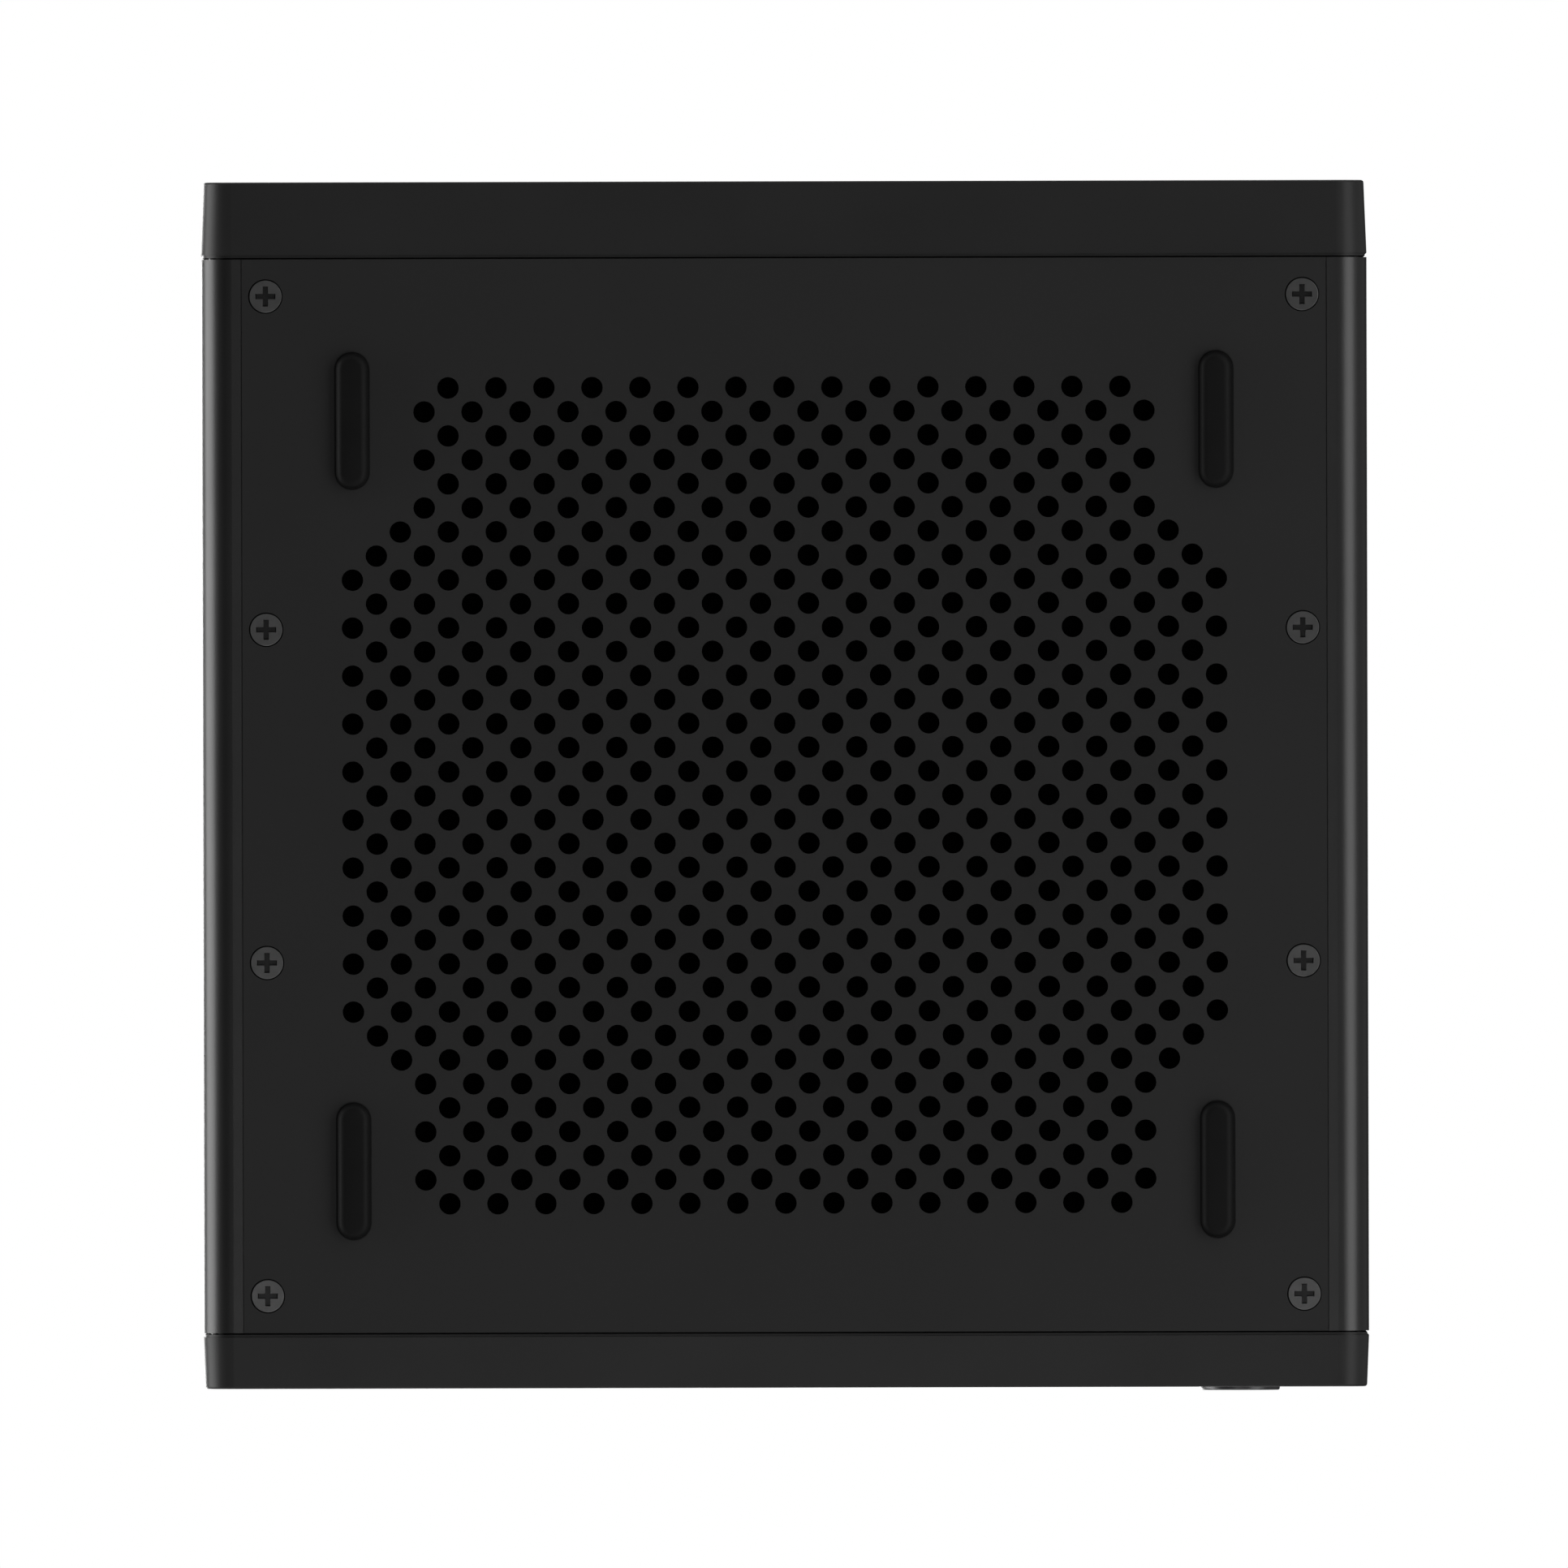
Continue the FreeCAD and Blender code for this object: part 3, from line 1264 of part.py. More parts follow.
def make_drive_flex():
    """A flat cable from the drive's end, down through a window to the mainboard's socket."""
    body = new_body(y="flex_y")
    profile = new_sketch(body, "XZ")
    level, foot = "drive_under + 3", "board_top + plug_height"
    down_x, outer = "flex_x + 8", "flex_bend + flex_thickness"
    plug_end = "flex_x + 18.5"
    outline(profile, [("flex_x", level), ("flex_x", f"{level} + flex_thickness"),
                      (f"{down_x} + flex_thickness", f"{level} + flex_thickness", outer),
                      (f"{down_x} + flex_thickness", f"{foot} + flex_thickness", "flex_bend"),
                      (plug_end, f"{foot} + flex_thickness"), (plug_end, foot),
                      (down_x, foot, outer), (down_x, level, "flex_bend")])
    pad(body, profile, "flex_width", both=True)
    return body


def make_front_flex():
    """A flat cable across the gap between the two boards."""
    return centred_box("0", "(front_board_rear + board_front) / 2", "board_top + plug_height",
                       "flex_width", "board_gap + 12", "flex_thickness")


# ---------------------------------------------------------------- sockets
def block_at(x, z, size, rear, setback="0"):
    """A block behind the socket face, with size as width, height and depth."""
    width, height, depth = size
    y = f"socket_face - ({setback}) - ({depth})" if rear else f"front_socket_face + ({setback})"
    return box(f"{x} - ({width}) / 2", y, f"{z} - ({height}) / 2", width, depth, height)


def make_socket(x, z, size, mouth, tongue, rear):
    """A socket with an open mouth and a contact tongue standing on the mouth's back."""
    inner_depth = f"{size[2]} - socket_back"
    shell = cut(block_at(x, z, size, rear), [block_at(x, z, (*mouth, inner_depth), rear)])
    reach = f"{inner_depth} - usb_tongue_setback"
    blade = block_at(x, z, (*tongue, reach), rear, "usb_tongue_setback")
    return fuse([shell, blade])


def make_usb(x, rear=False, z="board_under - usb_height / 2"):
    mouth = ("usb_width - 2 * usb_wall", "usb_height - 2 * usb_wall")
    return make_socket(x, z, ("usb_width", "usb_height", "usb_depth"), mouth,
                       ("usb_tongue_width", "usb_tongue_height"), rear)


def make_usb_c(x, rear):
    """A flat round-ended socket."""
    level = "board_under - usb_c_height / 2" if rear else "front_axis"
    body = new_body(y="socket_face" if rear else "front_socket_face")
    shell = new_sketch(body, "XZ")
    outline(shell, rounded(x, level, "usb_c_width", "usb_c_height", "usb_c_height * 0.45"))
    pad(body, shell, "usb_c_depth", back=not rear)
    mouth = new_sketch(body, "XZ")
    outline(mouth, rounded(x, level, "usb_c_width - 2 * usb_wall", "usb_c_height - 2 * usb_wall",
                           "(usb_c_height - 2 * usb_wall) * 0.45"))
    pocket(body, mouth, "usb_c_depth - socket_back", back=rear)
    tongue = new_sketch(body, "XZ", lift=f"{'' if rear else '-'}(usb_c_depth - socket_back)")
    outline(tongue, square(x, level, "usb_c_tongue_width", "usb_c_tongue_height"))
    pad(body, tongue, "usb_c_depth - socket_back - usb_tongue_setback", back=rear)
    return body


def make_usb_stack():
    """A rear block with two sockets, one above the other."""
    z = "board_under - stack_height / 2"
    size = ("stack_width", "stack_height", "stack_depth")
    mouths, tongues = [], []
    reach = "stack_depth - socket_back - usb_tongue_setback"
    for side in "+-":
        level = f"{z} {side} stack_height / 4"
        mouths.append(block_at("stack_x", level, ("usb_width - 2 * usb_wall",
                                                  "usb_height - 2 * usb_wall",
                                                  "stack_depth - socket_back"), True))
        tongues.append(block_at("stack_x", level, ("usb_tongue_width", "usb_tongue_height",
                                                   reach), True, "usb_tongue_setback"))
    return fuse([cut(block_at("stack_x", z, size, True), mouths)] + tongues)


def make_ethernet_port():
    """A metal block with a stepped mouth."""
    z = "board_under - lan_height / 2"
    mouth = block_at("lan_x", z, ("lan_mouth_width", "lan_mouth_height", "lan_mouth_depth"), True)
    notch = block_at("lan_x", f"{z} - (lan_mouth_height + lan_notch_height) / 2 + 0.05",
                     ("lan_notch_width", "lan_notch_height + 0.1", "lan_mouth_depth"), True)
    block = block_at("lan_x", z, ("lan_width", "lan_height", "lan_depth"), True)
    return cut(block, [mouth, notch])


def make_hdmi_port():
    mouth = ("hdmi_width - 2 * usb_wall", "hdmi_height - 2 * usb_wall")
    return make_socket("hdmi_x", "board_under - hdmi_height / 2",
                       ("hdmi_width", "hdmi_height", "hdmi_depth"), mouth,
                       ("hdmi_tongue_width", "hdmi_tongue_height"), True)


def make_power_inlet():
    """The round supply socket with its centre pin."""
    z = "board_under - inlet_height / 2"
    block = block_at("inlet_x", z, ("inlet_width", "inlet_height", "inlet_depth"), True)
    back = "socket_face - inlet_bore_depth"
    bore = rod("inlet_x", back, z, "inlet_bore_radius", "inlet_bore_depth", along="Y")
    pin = rod("inlet_x", back, z, "inlet_pin_radius", "inlet_bore_depth - 1.5", along="Y")
    return fuse([cut(block, [bore]), pin])


def make_audio_jack():
    """A barrel through the bezel on a square body, with a blind bore."""
    behind = "front_socket_face + audio_barrel_length"
    block = box("audio_x - audio_body_width / 2", behind, "front_axis - front_axis_drop",
                "audio_body_width", "audio_body_depth", "2 * front_axis_drop")
    barrel = rod("audio_x", "front_socket_face", "front_axis", "audio_barrel_radius",
                 "audio_barrel_length + 1", along="Y")
    bore = rod("audio_x", "front_socket_face", "front_axis", "audio_bore_radius",
               "audio_bore_length", along="Y")
    return cut(fuse([block, barrel]), [bore])


def make_light_pipe():
    return rod("light_x", "front_face", "front_axis", "light_radius", "light_length", along="Y")


# ---------------------------------------------------------------- power button
def make_button_cap():
    """A round cap with a softened rim, and a flange behind the bezel that keeps it in."""
    body = new_body(x="button_x", z="front_axis")
    flange_front = "front_wall + run_gap"
    face = new_sketch(body, "XZ", lift="-(front_face - button_proud)")
    circle(face, "0", "0", "button_radius")
    disc = pad(body, face, f"{flange_front} - front_face + button_proud", back=True)
    rim = value("front_face - button_proud") + 0.01
    soft = fillet(body, disc, lambda bounds: bounds.YMax < rim, "button_edge")
    body.Tip = soft
    flange = new_sketch(body, "XZ", lift=f"-({flange_front})")
    circle(flange, "0", "0", "button_radius + button_flange")
    pad(body, flange, "button_flange_thickness", back=True)
    return body


def make_plunger():
    """The switch's plunger, from the cap's flange into the switch body."""
    start = "front_wall + run_gap + button_flange_thickness"
    return rod("button_x", start, "front_axis", "plunger_radius",
               "switch_setback - run_gap - button_flange_thickness + 1.5", along="Y")


def make_switch_body():
    """The switch, bored for its plunger with room for the travel."""
    face = "front_wall + switch_setback"
    block = box("button_x - switch_size / 2", face, "front_axis - switch_size / 2", "switch_size",
                "switch_depth", "switch_size")
    bore = rod("button_x", face, "front_axis", "plunger_radius + shaft_gap",
               "1.5 + button_travel + run_gap", along="Y")
    return cut(block, [bore])


# ---------------------------------------------------------------- the whole computer
doc = FreeCAD.newDocument("mini_computer")
sheet = doc.addObject("Spreadsheet::Sheet", "Sizes")
for row, (alias, number) in enumerate(SIZES.items(), start=1):
    sheet.set(f"A{row}", alias)
    sheet.set(f"B{row}", str(number))
    sheet.setAlias(f"B{row}", alias)
doc.recompute()
places = doc.addObject("App::VarSet", "Places")
for name, formula in PLACES.items():
    places.addProperty("App::PropertyFloat", name, "Places")
    places.setExpression(name, full(formula).replace("Places.", ""))
doc.recompute()

node("sleeve", make_sleeve())
node("bottom_panel", make_bottom_panel())
node("bottom_panel_screws", make_panel_screws())
node("dust_mesh", centred_box("0", "mid", "deck", "2 * mesh_half_width", "2 * mesh_half_length",
                              "mesh_thickness"))
for end_name, end_y in (("front", "mid - foot_y"), ("rear", "mid + foot_y")):
    for side_name, side_x in (("left", "-foot_x"), ("right", "foot_x")):
        node(f"foot_{end_name}_{side_name}", make_foot(side_x, end_y))
node("front_bezel", make_front_bezel())
node("rear_bezel", make_rear_bezel())
node("rear_io_shield", make_rear_shield())

node("inner_frame", make_inner_frame())
node("board_standoffs", make_standoffs())
node("board_screws", make_board_screws())
node("mainboard", make_mainboard())
node("front_io_board", make_front_board())

node("cpu_package", make_package())
node("cold_plate", make_cold_plate())
for index in (0, 1):
    node(f"heat_pipe_{index + 1}", make_heat_pipe(index))
node("fin_stack", make_fin_stack())
node("blower_housing", make_blower_housing())
node("blower_lid", make_blower_lid())
node("blower_rotor", make_blower_rotor())
node("cooler_screws", make_cooler_screws())
node("fan_frame", make_fan_frame())
node("fan_rotor", make_fan_rotor())
node("fan_spacers", make_fan_spacers())

for index in (0, 1):
    node(f"ram_socket_{index + 1}", make_ram_socket(index))
    node(f"ram_module_{index + 1}", make_ram_module(index))
    for side_name, side in (("left", "-"), ("right", "+")):
        node(f"ram_latch_{index + 1}_{side_name}", make_ram_latch(index, side))
    node(f"m2_drive_{index + 1}", make_drive_card(index))
node("m2_sockets", make_card_sockets())
node("m2_screws", make_card_screws())
node("wifi_card", make_radio_card())
node("wifi_antennas", make_antennas())
node("antenna_leads", make_antenna_leads())
node("coin_cell", make_coin_cell())

node("drive_caddy", make_caddy())
node("sata_drive", make_bay_drive())
node("sata_flex", make_drive_flex())
node("front_flex_cable", make_front_flex())

node("front_usb_ports", group([make_usb(f"front_usb_x + {i} * (usb_width + 6)") for i in (0, 1)]))
node("front_usb_c_port", make_usb_c("front_c_x", rear=False))
node("audio_jack", make_audio_jack())
node("led_light_pipe", make_light_pipe())
node("power_button_cap", make_button_cap())
node("power_switch_plunger", make_plunger())
node("power_switch_body", make_switch_body())
node("rear_usb_stack", make_usb_stack())
node("ethernet_port", make_ethernet_port())
node("hdmi_port", make_hdmi_port())
node("rear_usb_c_port", make_usb_c("rear_c_x", rear=True))
node("dc_jack", make_power_inlet())

# ---------------------------------------------------------------- checks and export
doc.recompute()
failed = [thing.Label for thing in doc.Objects
          if "Invalid" in thing.State or "Error" in thing.State]
if failed:
    raise RuntimeError(f"failed objects: {failed}")
for name in node_names:
    piece = doc.getObject(name)
    if piece.Shape.isNull() or not piece.Shape.isValid():
        raise RuntimeError(f"bad shape: {piece.Label}")
os.makedirs("parts", exist_ok=True)
for name in node_names:
    piece = doc.getObject(name)
    piece.Shape.exportStep(f"parts/{piece.Label}.step")
print(f"{len(node_names)} nodes written")
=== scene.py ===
"""Looks of a small desktop computer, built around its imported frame.

Sizes are in millimetres and turn into metres where a mesh is made. X points to the right,
the front faces -Y and Z points up. The computer stands on its four feet at z = 0.
"""

import logging
import math
from collections.abc import Iterable, Sequence
from dataclasses import dataclass
from enum import Enum
from typing import Any

import bmesh
import bpy
from mathutils import Matrix, Quaternion, Vector


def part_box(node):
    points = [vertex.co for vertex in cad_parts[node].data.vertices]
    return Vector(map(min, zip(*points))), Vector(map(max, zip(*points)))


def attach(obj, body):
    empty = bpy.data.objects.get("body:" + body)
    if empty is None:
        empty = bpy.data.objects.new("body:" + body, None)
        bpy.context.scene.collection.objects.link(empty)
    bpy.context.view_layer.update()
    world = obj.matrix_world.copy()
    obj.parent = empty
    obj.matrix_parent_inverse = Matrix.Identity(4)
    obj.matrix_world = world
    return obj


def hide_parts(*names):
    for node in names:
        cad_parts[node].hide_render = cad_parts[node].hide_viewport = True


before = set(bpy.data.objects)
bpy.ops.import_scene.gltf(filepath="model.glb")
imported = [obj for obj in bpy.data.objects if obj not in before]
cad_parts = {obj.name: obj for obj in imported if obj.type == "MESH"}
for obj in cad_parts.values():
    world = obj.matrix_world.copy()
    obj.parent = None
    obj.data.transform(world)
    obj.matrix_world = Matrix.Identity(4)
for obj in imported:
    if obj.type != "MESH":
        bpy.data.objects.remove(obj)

MM = 0.001
WELD = 1e-6  # metres within which two vertices are one
SKIN = 0.02  # millimetres by which a level is cleared, so that a face on it is certain
CREASE = math.radians(32)  # edges bent more than this stay sharp
CHASSIS = "chassis"

log = logging.getLogger("mini_computer")

Colour = tuple[float, float, float, float]
Inputs = dict[str | int, Any]
Tree = bpy.types.NodeTree
Node = bpy.types.Node
Source = bpy.types.Node | bpy.types.NodeSocket
Path = tuple[tuple[float, float], ...]
Rings = Sequence[Sequence[Sequence[float]]]

MATHS = "ShaderNodeMath"
MIX = "ShaderNodeMix"
MIXED = 2  # the number of a colour Mix node's output
NOISE = "ShaderNodeTexNoise"
CELLS = "ShaderNodeTexVoronoi"
AXES = "ShaderNodeSeparateXYZ"
VECTOR = "ShaderNodeCombineXYZ"
POINTS = "GeometryNodeMeshGrid"
LINE = "GeometryNodeMeshLine"
MOVE = "GeometryNodeTransform"
FLIP = "GeometryNodeFlipFaces"
REPEAT = "GeometryNodeInstanceOnPoints"
TOGETHER = "GeometryNodeJoinGeometry"
REAL = "GeometryNodeRealizeInstances"
SOCKETS = {int: "NodeSocketInt", float: "NodeSocketFloat",
           bpy.types.Material: "NodeSocketMaterial", bpy.types.Object: "NodeSocketObject"}

MOTTLE = 0.4  # how much the grain's height counts in a finish's shade
SMEAR = 0.6  # how many smears of gloss fit across one patch of colour
LAMP_POWER = 4.0  # watts for a square metre of lamp with a radiance of one
WHITE = (1.0, 1.0, 1.0, 1.0)
ALONG_X = (1.0, 0.0, 0.0)
ALONG_Y = (0.0, 1.0, 0.0)


# ------------------------------ node trees
def linear(code: str) -> Colour:
    """Turns an sRGB hex colour into linear light.

    Args:
        code: six hex digits after a hash.

    Returns:
        Red, green, blue and an alpha of one.
    """
    parts = [int(code[i:i + 2], 16) / 255 for i in (1, 3, 5)]
    made = [c / 12.92 if c <= 0.04045 else ((c + 0.055) / 1.055) ** 2.4 for c in parts]
    return (made[0], made[1], made[2], 1.0)


def add(tree: Tree, kind: str, inputs: Inputs | None = None, **settings: Any) -> Node:
    """Adds a node, sets its properties, and sets or links its inputs.

    Args:
        tree: the tree that gets the node.
        kind: the node's type name.
        inputs: socket name or number to a value, to an output, to a node whose first output is
            meant, or to a list of these.
        **settings: the node's own properties.

    Returns:
        The new node.
    """
    made = tree.nodes.new(kind)
    for name, value in settings.items():
        setattr(made, name, value)
    for key, value in (inputs or {}).items():
        for source in value if isinstance(value, list) else [value]:
            if isinstance(source, Node):
                source = source.outputs[0]
            if isinstance(source, bpy.types.NodeSocket):
                tree.links.new(source, made.inputs[key])
            else:
                made.inputs[key].default_value = source
    return made


# ------------------------------ finishes
class Grain(Enum):
    """How a finish's fine relief is laid out."""

    SPECKLE = "speckle"
    BLASTED = "blasted"
    BRUSHED_X = "brushed along x"
    BRUSHED_Y = "brushed along y"
    BRUSHED_Z = "brushed along z"


RUNS = {Grain.BRUSHED_X: (0.03, 1.0, 1.0), Grain.BRUSHED_Y: (1.0, 0.03, 1.0),
        Grain.BRUSHED_Z: (1.0, 1.0, 0.03)}


@dataclass(frozen=True)
class Finish:
    """A surface with an uneven colour, an uneven gloss and a fine relief.

    Its sizes are in millimetres. The colour drifts between two near shades over patches, and
    the relief is a height field of the given grain.
    """

    label: str
    colour: str
    shade: str
    roughness: float
    metallic: float = 0.0
    grain: Grain = Grain.SPECKLE
    grain_size: float = 0.3
    relief: float = 0.004
    patch: float = 9.0
    swing: float = 0.05
    ior: float = 1.5
    specular: float = 0.5
    coat: float = 0.0

    def make(self) -> bpy.types.Material:
        """Builds the material, with its pattern on object coordinates.

        Returns:
            The material.
        """
        material = bpy.data.materials.new(self.label)
        material.use_nodes = True
        tree = material.node_tree
        tree.nodes.clear()
        place = add(tree, "ShaderNodeTexCoord").outputs["Object"]
        height = self.height(tree, place)
        bump = add(tree, "ShaderNodeBump", {"Height": height, "Distance": self.relief * MM})
        colour = self.tint(tree, place, height)
        for mask, cover in self.covers(tree, place):
            colour = add(tree, MIX, {0: mask, 6: colour, 7: linear(cover)},
                         data_type="RGBA").outputs[MIXED]
        shader = add(tree, "ShaderNodeBsdfPrincipled",
                     {"Base Color": colour, "Roughness": self.gloss(tree, place), "Normal": bump,
                      "Metallic": self.metallic, "Specular IOR Level": self.specular,
                      "Coat Weight": self.coat, "Coat Roughness": 0.15})
        if not self.metallic:
            shader.inputs["IOR"].default_value = self.ior
        add(tree, "ShaderNodeOutputMaterial", {"Surface": shader})
        return material

    def height(self, tree: Tree, place: Source) -> Source:
        """Makes the height field of the grain.

        Args:
            tree: the material's tree.
            place: the coordinates that the pattern follows.

        Returns:
            What holds the height.
        """
        scale = 1 / (self.grain_size * MM)
        if self.grain is Grain.BLASTED:
            return add(tree, CELLS, {"Vector": place, "Scale": scale}, feature="SMOOTH_F1")
        if self.grain in RUNS:
            place = add(tree, "ShaderNodeMapping", {"Vector": place, "Scale": RUNS[self.grain]})
        return add(tree, NOISE, {"Vector": place, "Scale": scale, "Detail": 3.0})

    def tint(self, tree: Tree, place: Source, height: Source) -> Source:
        """Makes the colour: two near shades that drift into each other.

        Args:
            tree: the material's tree.
            place: the coordinates that the pattern follows.
            height: the grain's height, which shifts the shade a little.

        Returns:
            What holds the colour.
        """
        drift = add(tree, NOISE, {"Vector": place, "Scale": 1 / (self.patch * MM),
                                  "Detail": 2.0})
        share = add(tree, MATHS, {0: height, 1: MOTTLE, 2: drift}, operation="MULTIPLY_ADD")
        share = add(tree, "ShaderNodeMapRange", {"Value": share, "From Min": 0.4,
                                                 "From Max": 1.0})
        return add(tree, MIX, {0: share, 6: linear(self.colour), 7: linear(self.shade)},
                   data_type="RGBA").outputs[MIXED]

    def covers(self, tree: Tree, place: Source) -> Sequence[tuple[Source, str]]:
        """Gives what lies over the colour in places. A plain finish has nothing there.

        Args:
            tree: the material's tree.
            place: the coordinates that the pattern follows.

        Returns:
            From the lowest up, masks with the colour that each one lays on.
        """
        return []

    def gloss(self, tree: Tree, place: Source) -> Source:
        """Makes the roughness, a little uneven as on any handled surface.

        Args:
            tree: the material's tree.
            place: the coordinates that the pattern follows.

        Returns:
            What holds the roughness.
        """
        smears = add(tree, NOISE, {"Vector": place, "Detail": 4.0,
                                   "Scale": SMEAR / (self.patch * MM)})
        return add(tree, "ShaderNodeMapRange",
                   {"Value": smears, "To Min": self.roughness - self.swing,
                    "To Max": self.roughness + self.swing})


@dataclass(frozen=True)
class Woven(Finish):
    """A plain weave: two sets of threads that pass over and under each other."""

    def height(self, tree: Tree, place: Source) -> Source:
        """Makes the threads' height, high where either set crosses on top.

        Args:
            tree: the material's tree.
            place: the coordinates that the pattern follows.

        Returns:
            What holds the height.
        """
        axes = add(tree, AXES, {0: place}).outputs
        turn = math.pi / (self.grain_size * MM)
        threads = []
        for axis in ("X", "Y"):
            phase = add(tree, MATHS, {0: axes[axis], 1: turn}, operation="MULTIPLY")
            wave = add(tree, MATHS, {0: phase}, operation="SINE")
            threads.append(add(tree, MATHS, {0: wave}, operation="ABSOLUTE"))
        return add(tree, MATHS, dict(enumerate(threads)), operation="MAXIMUM")


@dataclass(frozen=True)
class Spangled(Finish):
    """Hot-dip galvanised steel: zinc crystals of uneven brightness."""

    spangle: float = 5.0

    def tint(self, tree: Tree, place: Source, height: Source) -> Source:
        """Makes each crystal its own shade.

        Args:
            tree: the material's tree.
            place: the coordinates that the pattern follows.
            height: the grain's height, which is left out of the colour.

        Returns:
            What holds the colour.
        """
        cells = add(tree, CELLS, {"Vector": place, "Scale": 1 / (self.spangle * MM)})
        return add(tree, MIX, {0: cells.outputs["Color"], 6: linear(self.colour),
                               7: linear(self.shade)}, data_type="RGBA").outputs[MIXED]


@dataclass(frozen=True)
class CircuitBoard(Finish):
    """Solder mask over copper tracks between two levels, and parts above and below them.

    The tracks run in bundles round the middle of each cell, with a gap beside each.
    """

    under: float = 24.0
    top: float = 25.6
    track: str = "#1d4a33"
    part: str = "#17181a"
    cell: float = 6.4
    bundle: float = 6.0
    gap: float = 0.55

    def covers(self, tree: Tree, place: Source) -> Sequence[tuple[Source, str]]:
        """Lays the tracks' lighter colour on the mask, and the parts' own on both.

        Args:
            tree: the material's tree.
            place: the coordinates that the pattern follows.

        Returns:
            The tracks and the parts, each with its colour.
        """
        spots = add(tree, CELLS, {"Vector": place, "Scale": 1 / (self.cell * MM),
                                  "Randomness": 0.8}, distance="CHEBYCHEV")
        steps = add(tree, MATHS, {0: spots, 1: self.bundle}, operation="MULTIPLY")
        steps = add(tree, MATHS, {0: steps}, operation="FRACT")
        tracks = add(tree, MATHS, {0: steps, 1: self.gap}, operation="GREATER_THAN")
        level = add(tree, AXES, {0: place}).outputs["Z"]
        middle, half = (self.under + self.top) / 2, (self.top - self.under) / 2
        off = add(tree, MATHS, {0: level, 1: middle * MM}, operation="SUBTRACT")
        off = add(tree, MATHS, {0: off}, operation="ABSOLUTE")
        parts = add(tree, MATHS, {0: off, 1: (half + SKIN) * MM}, operation="GREATER_THAN")
        return [(tracks, self.track), (parts, self.part)]


@dataclass(frozen=True)
class RecessedSteel(Finish):
    """Blackened steel whose recess, above the head's face, is painted darker: painted shade in the
    recess.
    """

    face: float = 2.0
    shallow: float = 0.12
    # painted shade: the colour given to the recess behind the head's face
    recess_shade: str = "#2b2b2b"

    def covers(self, tree: Tree, place: Source) -> Sequence[tuple[Source, str]]:
        """Paints shade over what is behind the head's face.

        Args:
            tree: the material's tree.
            place: the coordinates that the pattern follows.

        Returns:
            The recess, with its painted shade colour.
        """
        level = add(tree, AXES, {0: place}).outputs["Z"]
        behind = add(tree, MATHS, {0: level, 1: (self.face + self.shallow) * MM},
                     operation="GREATER_THAN")
        return [(behind, self.recess_shade)]


@dataclass(frozen=True)
class PortShell(Finish):
    """Bright shell around a mouth that is lined with black moulding.

    The mouths stand at middle, or in a pair at pair's distance on either side of it, and reach
    half to each side. All three are an x and a z. The lip is how far from centre, along y, the
    lining begins, at the front as at the rear.
    """

    middle: tuple[float, float] = (0.0, 0.0)
    half: tuple[float, float] = (0.0, 0.0)
    pair: tuple[float, float] = (0.0, 0.0)
    lining: str = "#101011"
    centre: float = 0.325
    lip: float = 96.9

    def make(self) -> bpy.types.Material:
        """Builds the shell's finish and takes the metal's shine off the lining.

        Returns:
            The material.
        """
        material = Finish.make(self)
        tree = material.node_tree
        shader = next(n for n in tree.nodes if n.type == "BSDF_PRINCIPLED")
        lined = self.lined(tree, add(tree, "ShaderNodeTexCoord").outputs["Object"])
        bare = add(tree, MATHS, {0: 1.0, 1: lined}, operation="SUBTRACT")
        tree.links.new(bare.outputs[0], shader.inputs["Metallic"])
        return material

    def covers(self, tree: Tree, place: Source) -> Sequence[tuple[Source, str]]:
        """Blackens the mouths."""
        return [(self.lined(tree, place), self.lining)]

    def lined(self, tree: Tree, place: Source) -> Source:
        """Tells the lining from the shell.

        Args:
            tree: the material's tree.
            place: the coordinates that the pattern follows.

        Returns:
            What is one in a mouth, behind its lip, and zero elsewhere.
        """
        axes = add(tree, AXES, {0: place}).outputs
        limits = [(axes["Y"], (self.centre,), self.lip)]
        for axis, middle, pair, half in zip(("X", "Z"), self.middle, self.pair, self.half):
            limits.append((axes[axis], (middle, pair) if pair else (middle,), half))
        inside: Source | float = 1.0
        for reach, folds, limit in limits:
            for fold in folds:
                reach = add(tree, MATHS, {0: reach, 1: fold * MM}, operation="SUBTRACT")
                reach = add(tree, MATHS, {0: reach}, operation="ABSOLUTE")
            near = add(tree, MATHS, {0: reach, 1: limit * MM}, operation="LESS_THAN")
            inside = add(tree, MATHS, {0: inside, 1: near}, operation="MULTIPLY")
        return inside


@dataclass(frozen=True)
class ClearPlastic(Finish):
    """Clear moulded plastic with a frosted skin, which passes light along it."""

    def make(self) -> bpy.types.Material:
        """Builds the finish and lets light through.

        Returns:
            The material.
        """
        material = Finish.make(self)
        shader = next(n for n in material.node_tree.nodes if n.type == "BSDF_PRINCIPLED")
        shader.inputs["Transmission Weight"].default_value = 0.85
        return material


@dataclass(frozen=True)
class StudioFloor(Finish):
    """A pale floor that is seen from above only, and stays pale far from the lights."""

    glow: float = 0.55

    def make(self) -> bpy.types.Material:
        """Builds the finish, lifts its shadows a little and clears its underside.

        Returns:
            The material.
        """
        material = Finish.make(self)
        tree = material.node_tree
        shader = next(n for n in tree.nodes if n.type == "BSDF_PRINCIPLED")
        shader.inputs["Emission Color"].default_value = WHITE
        shader.inputs["Emission Strength"].default_value = self.glow
        out = next(n for n in tree.nodes if n.type == "OUTPUT_MATERIAL")
        seen = out.inputs["Surface"].links[0].from_socket
        below = add(tree, "ShaderNodeNewGeometry").outputs["Backfacing"]
        clear = add(tree, "ShaderNodeBsdfTransparent")
        mixed = add(tree, "ShaderNodeMixShader", {0: below, 1: seen, 2: clear})
        tree.links.new(mixed.outputs[0], out.inputs["Surface"])
        return material


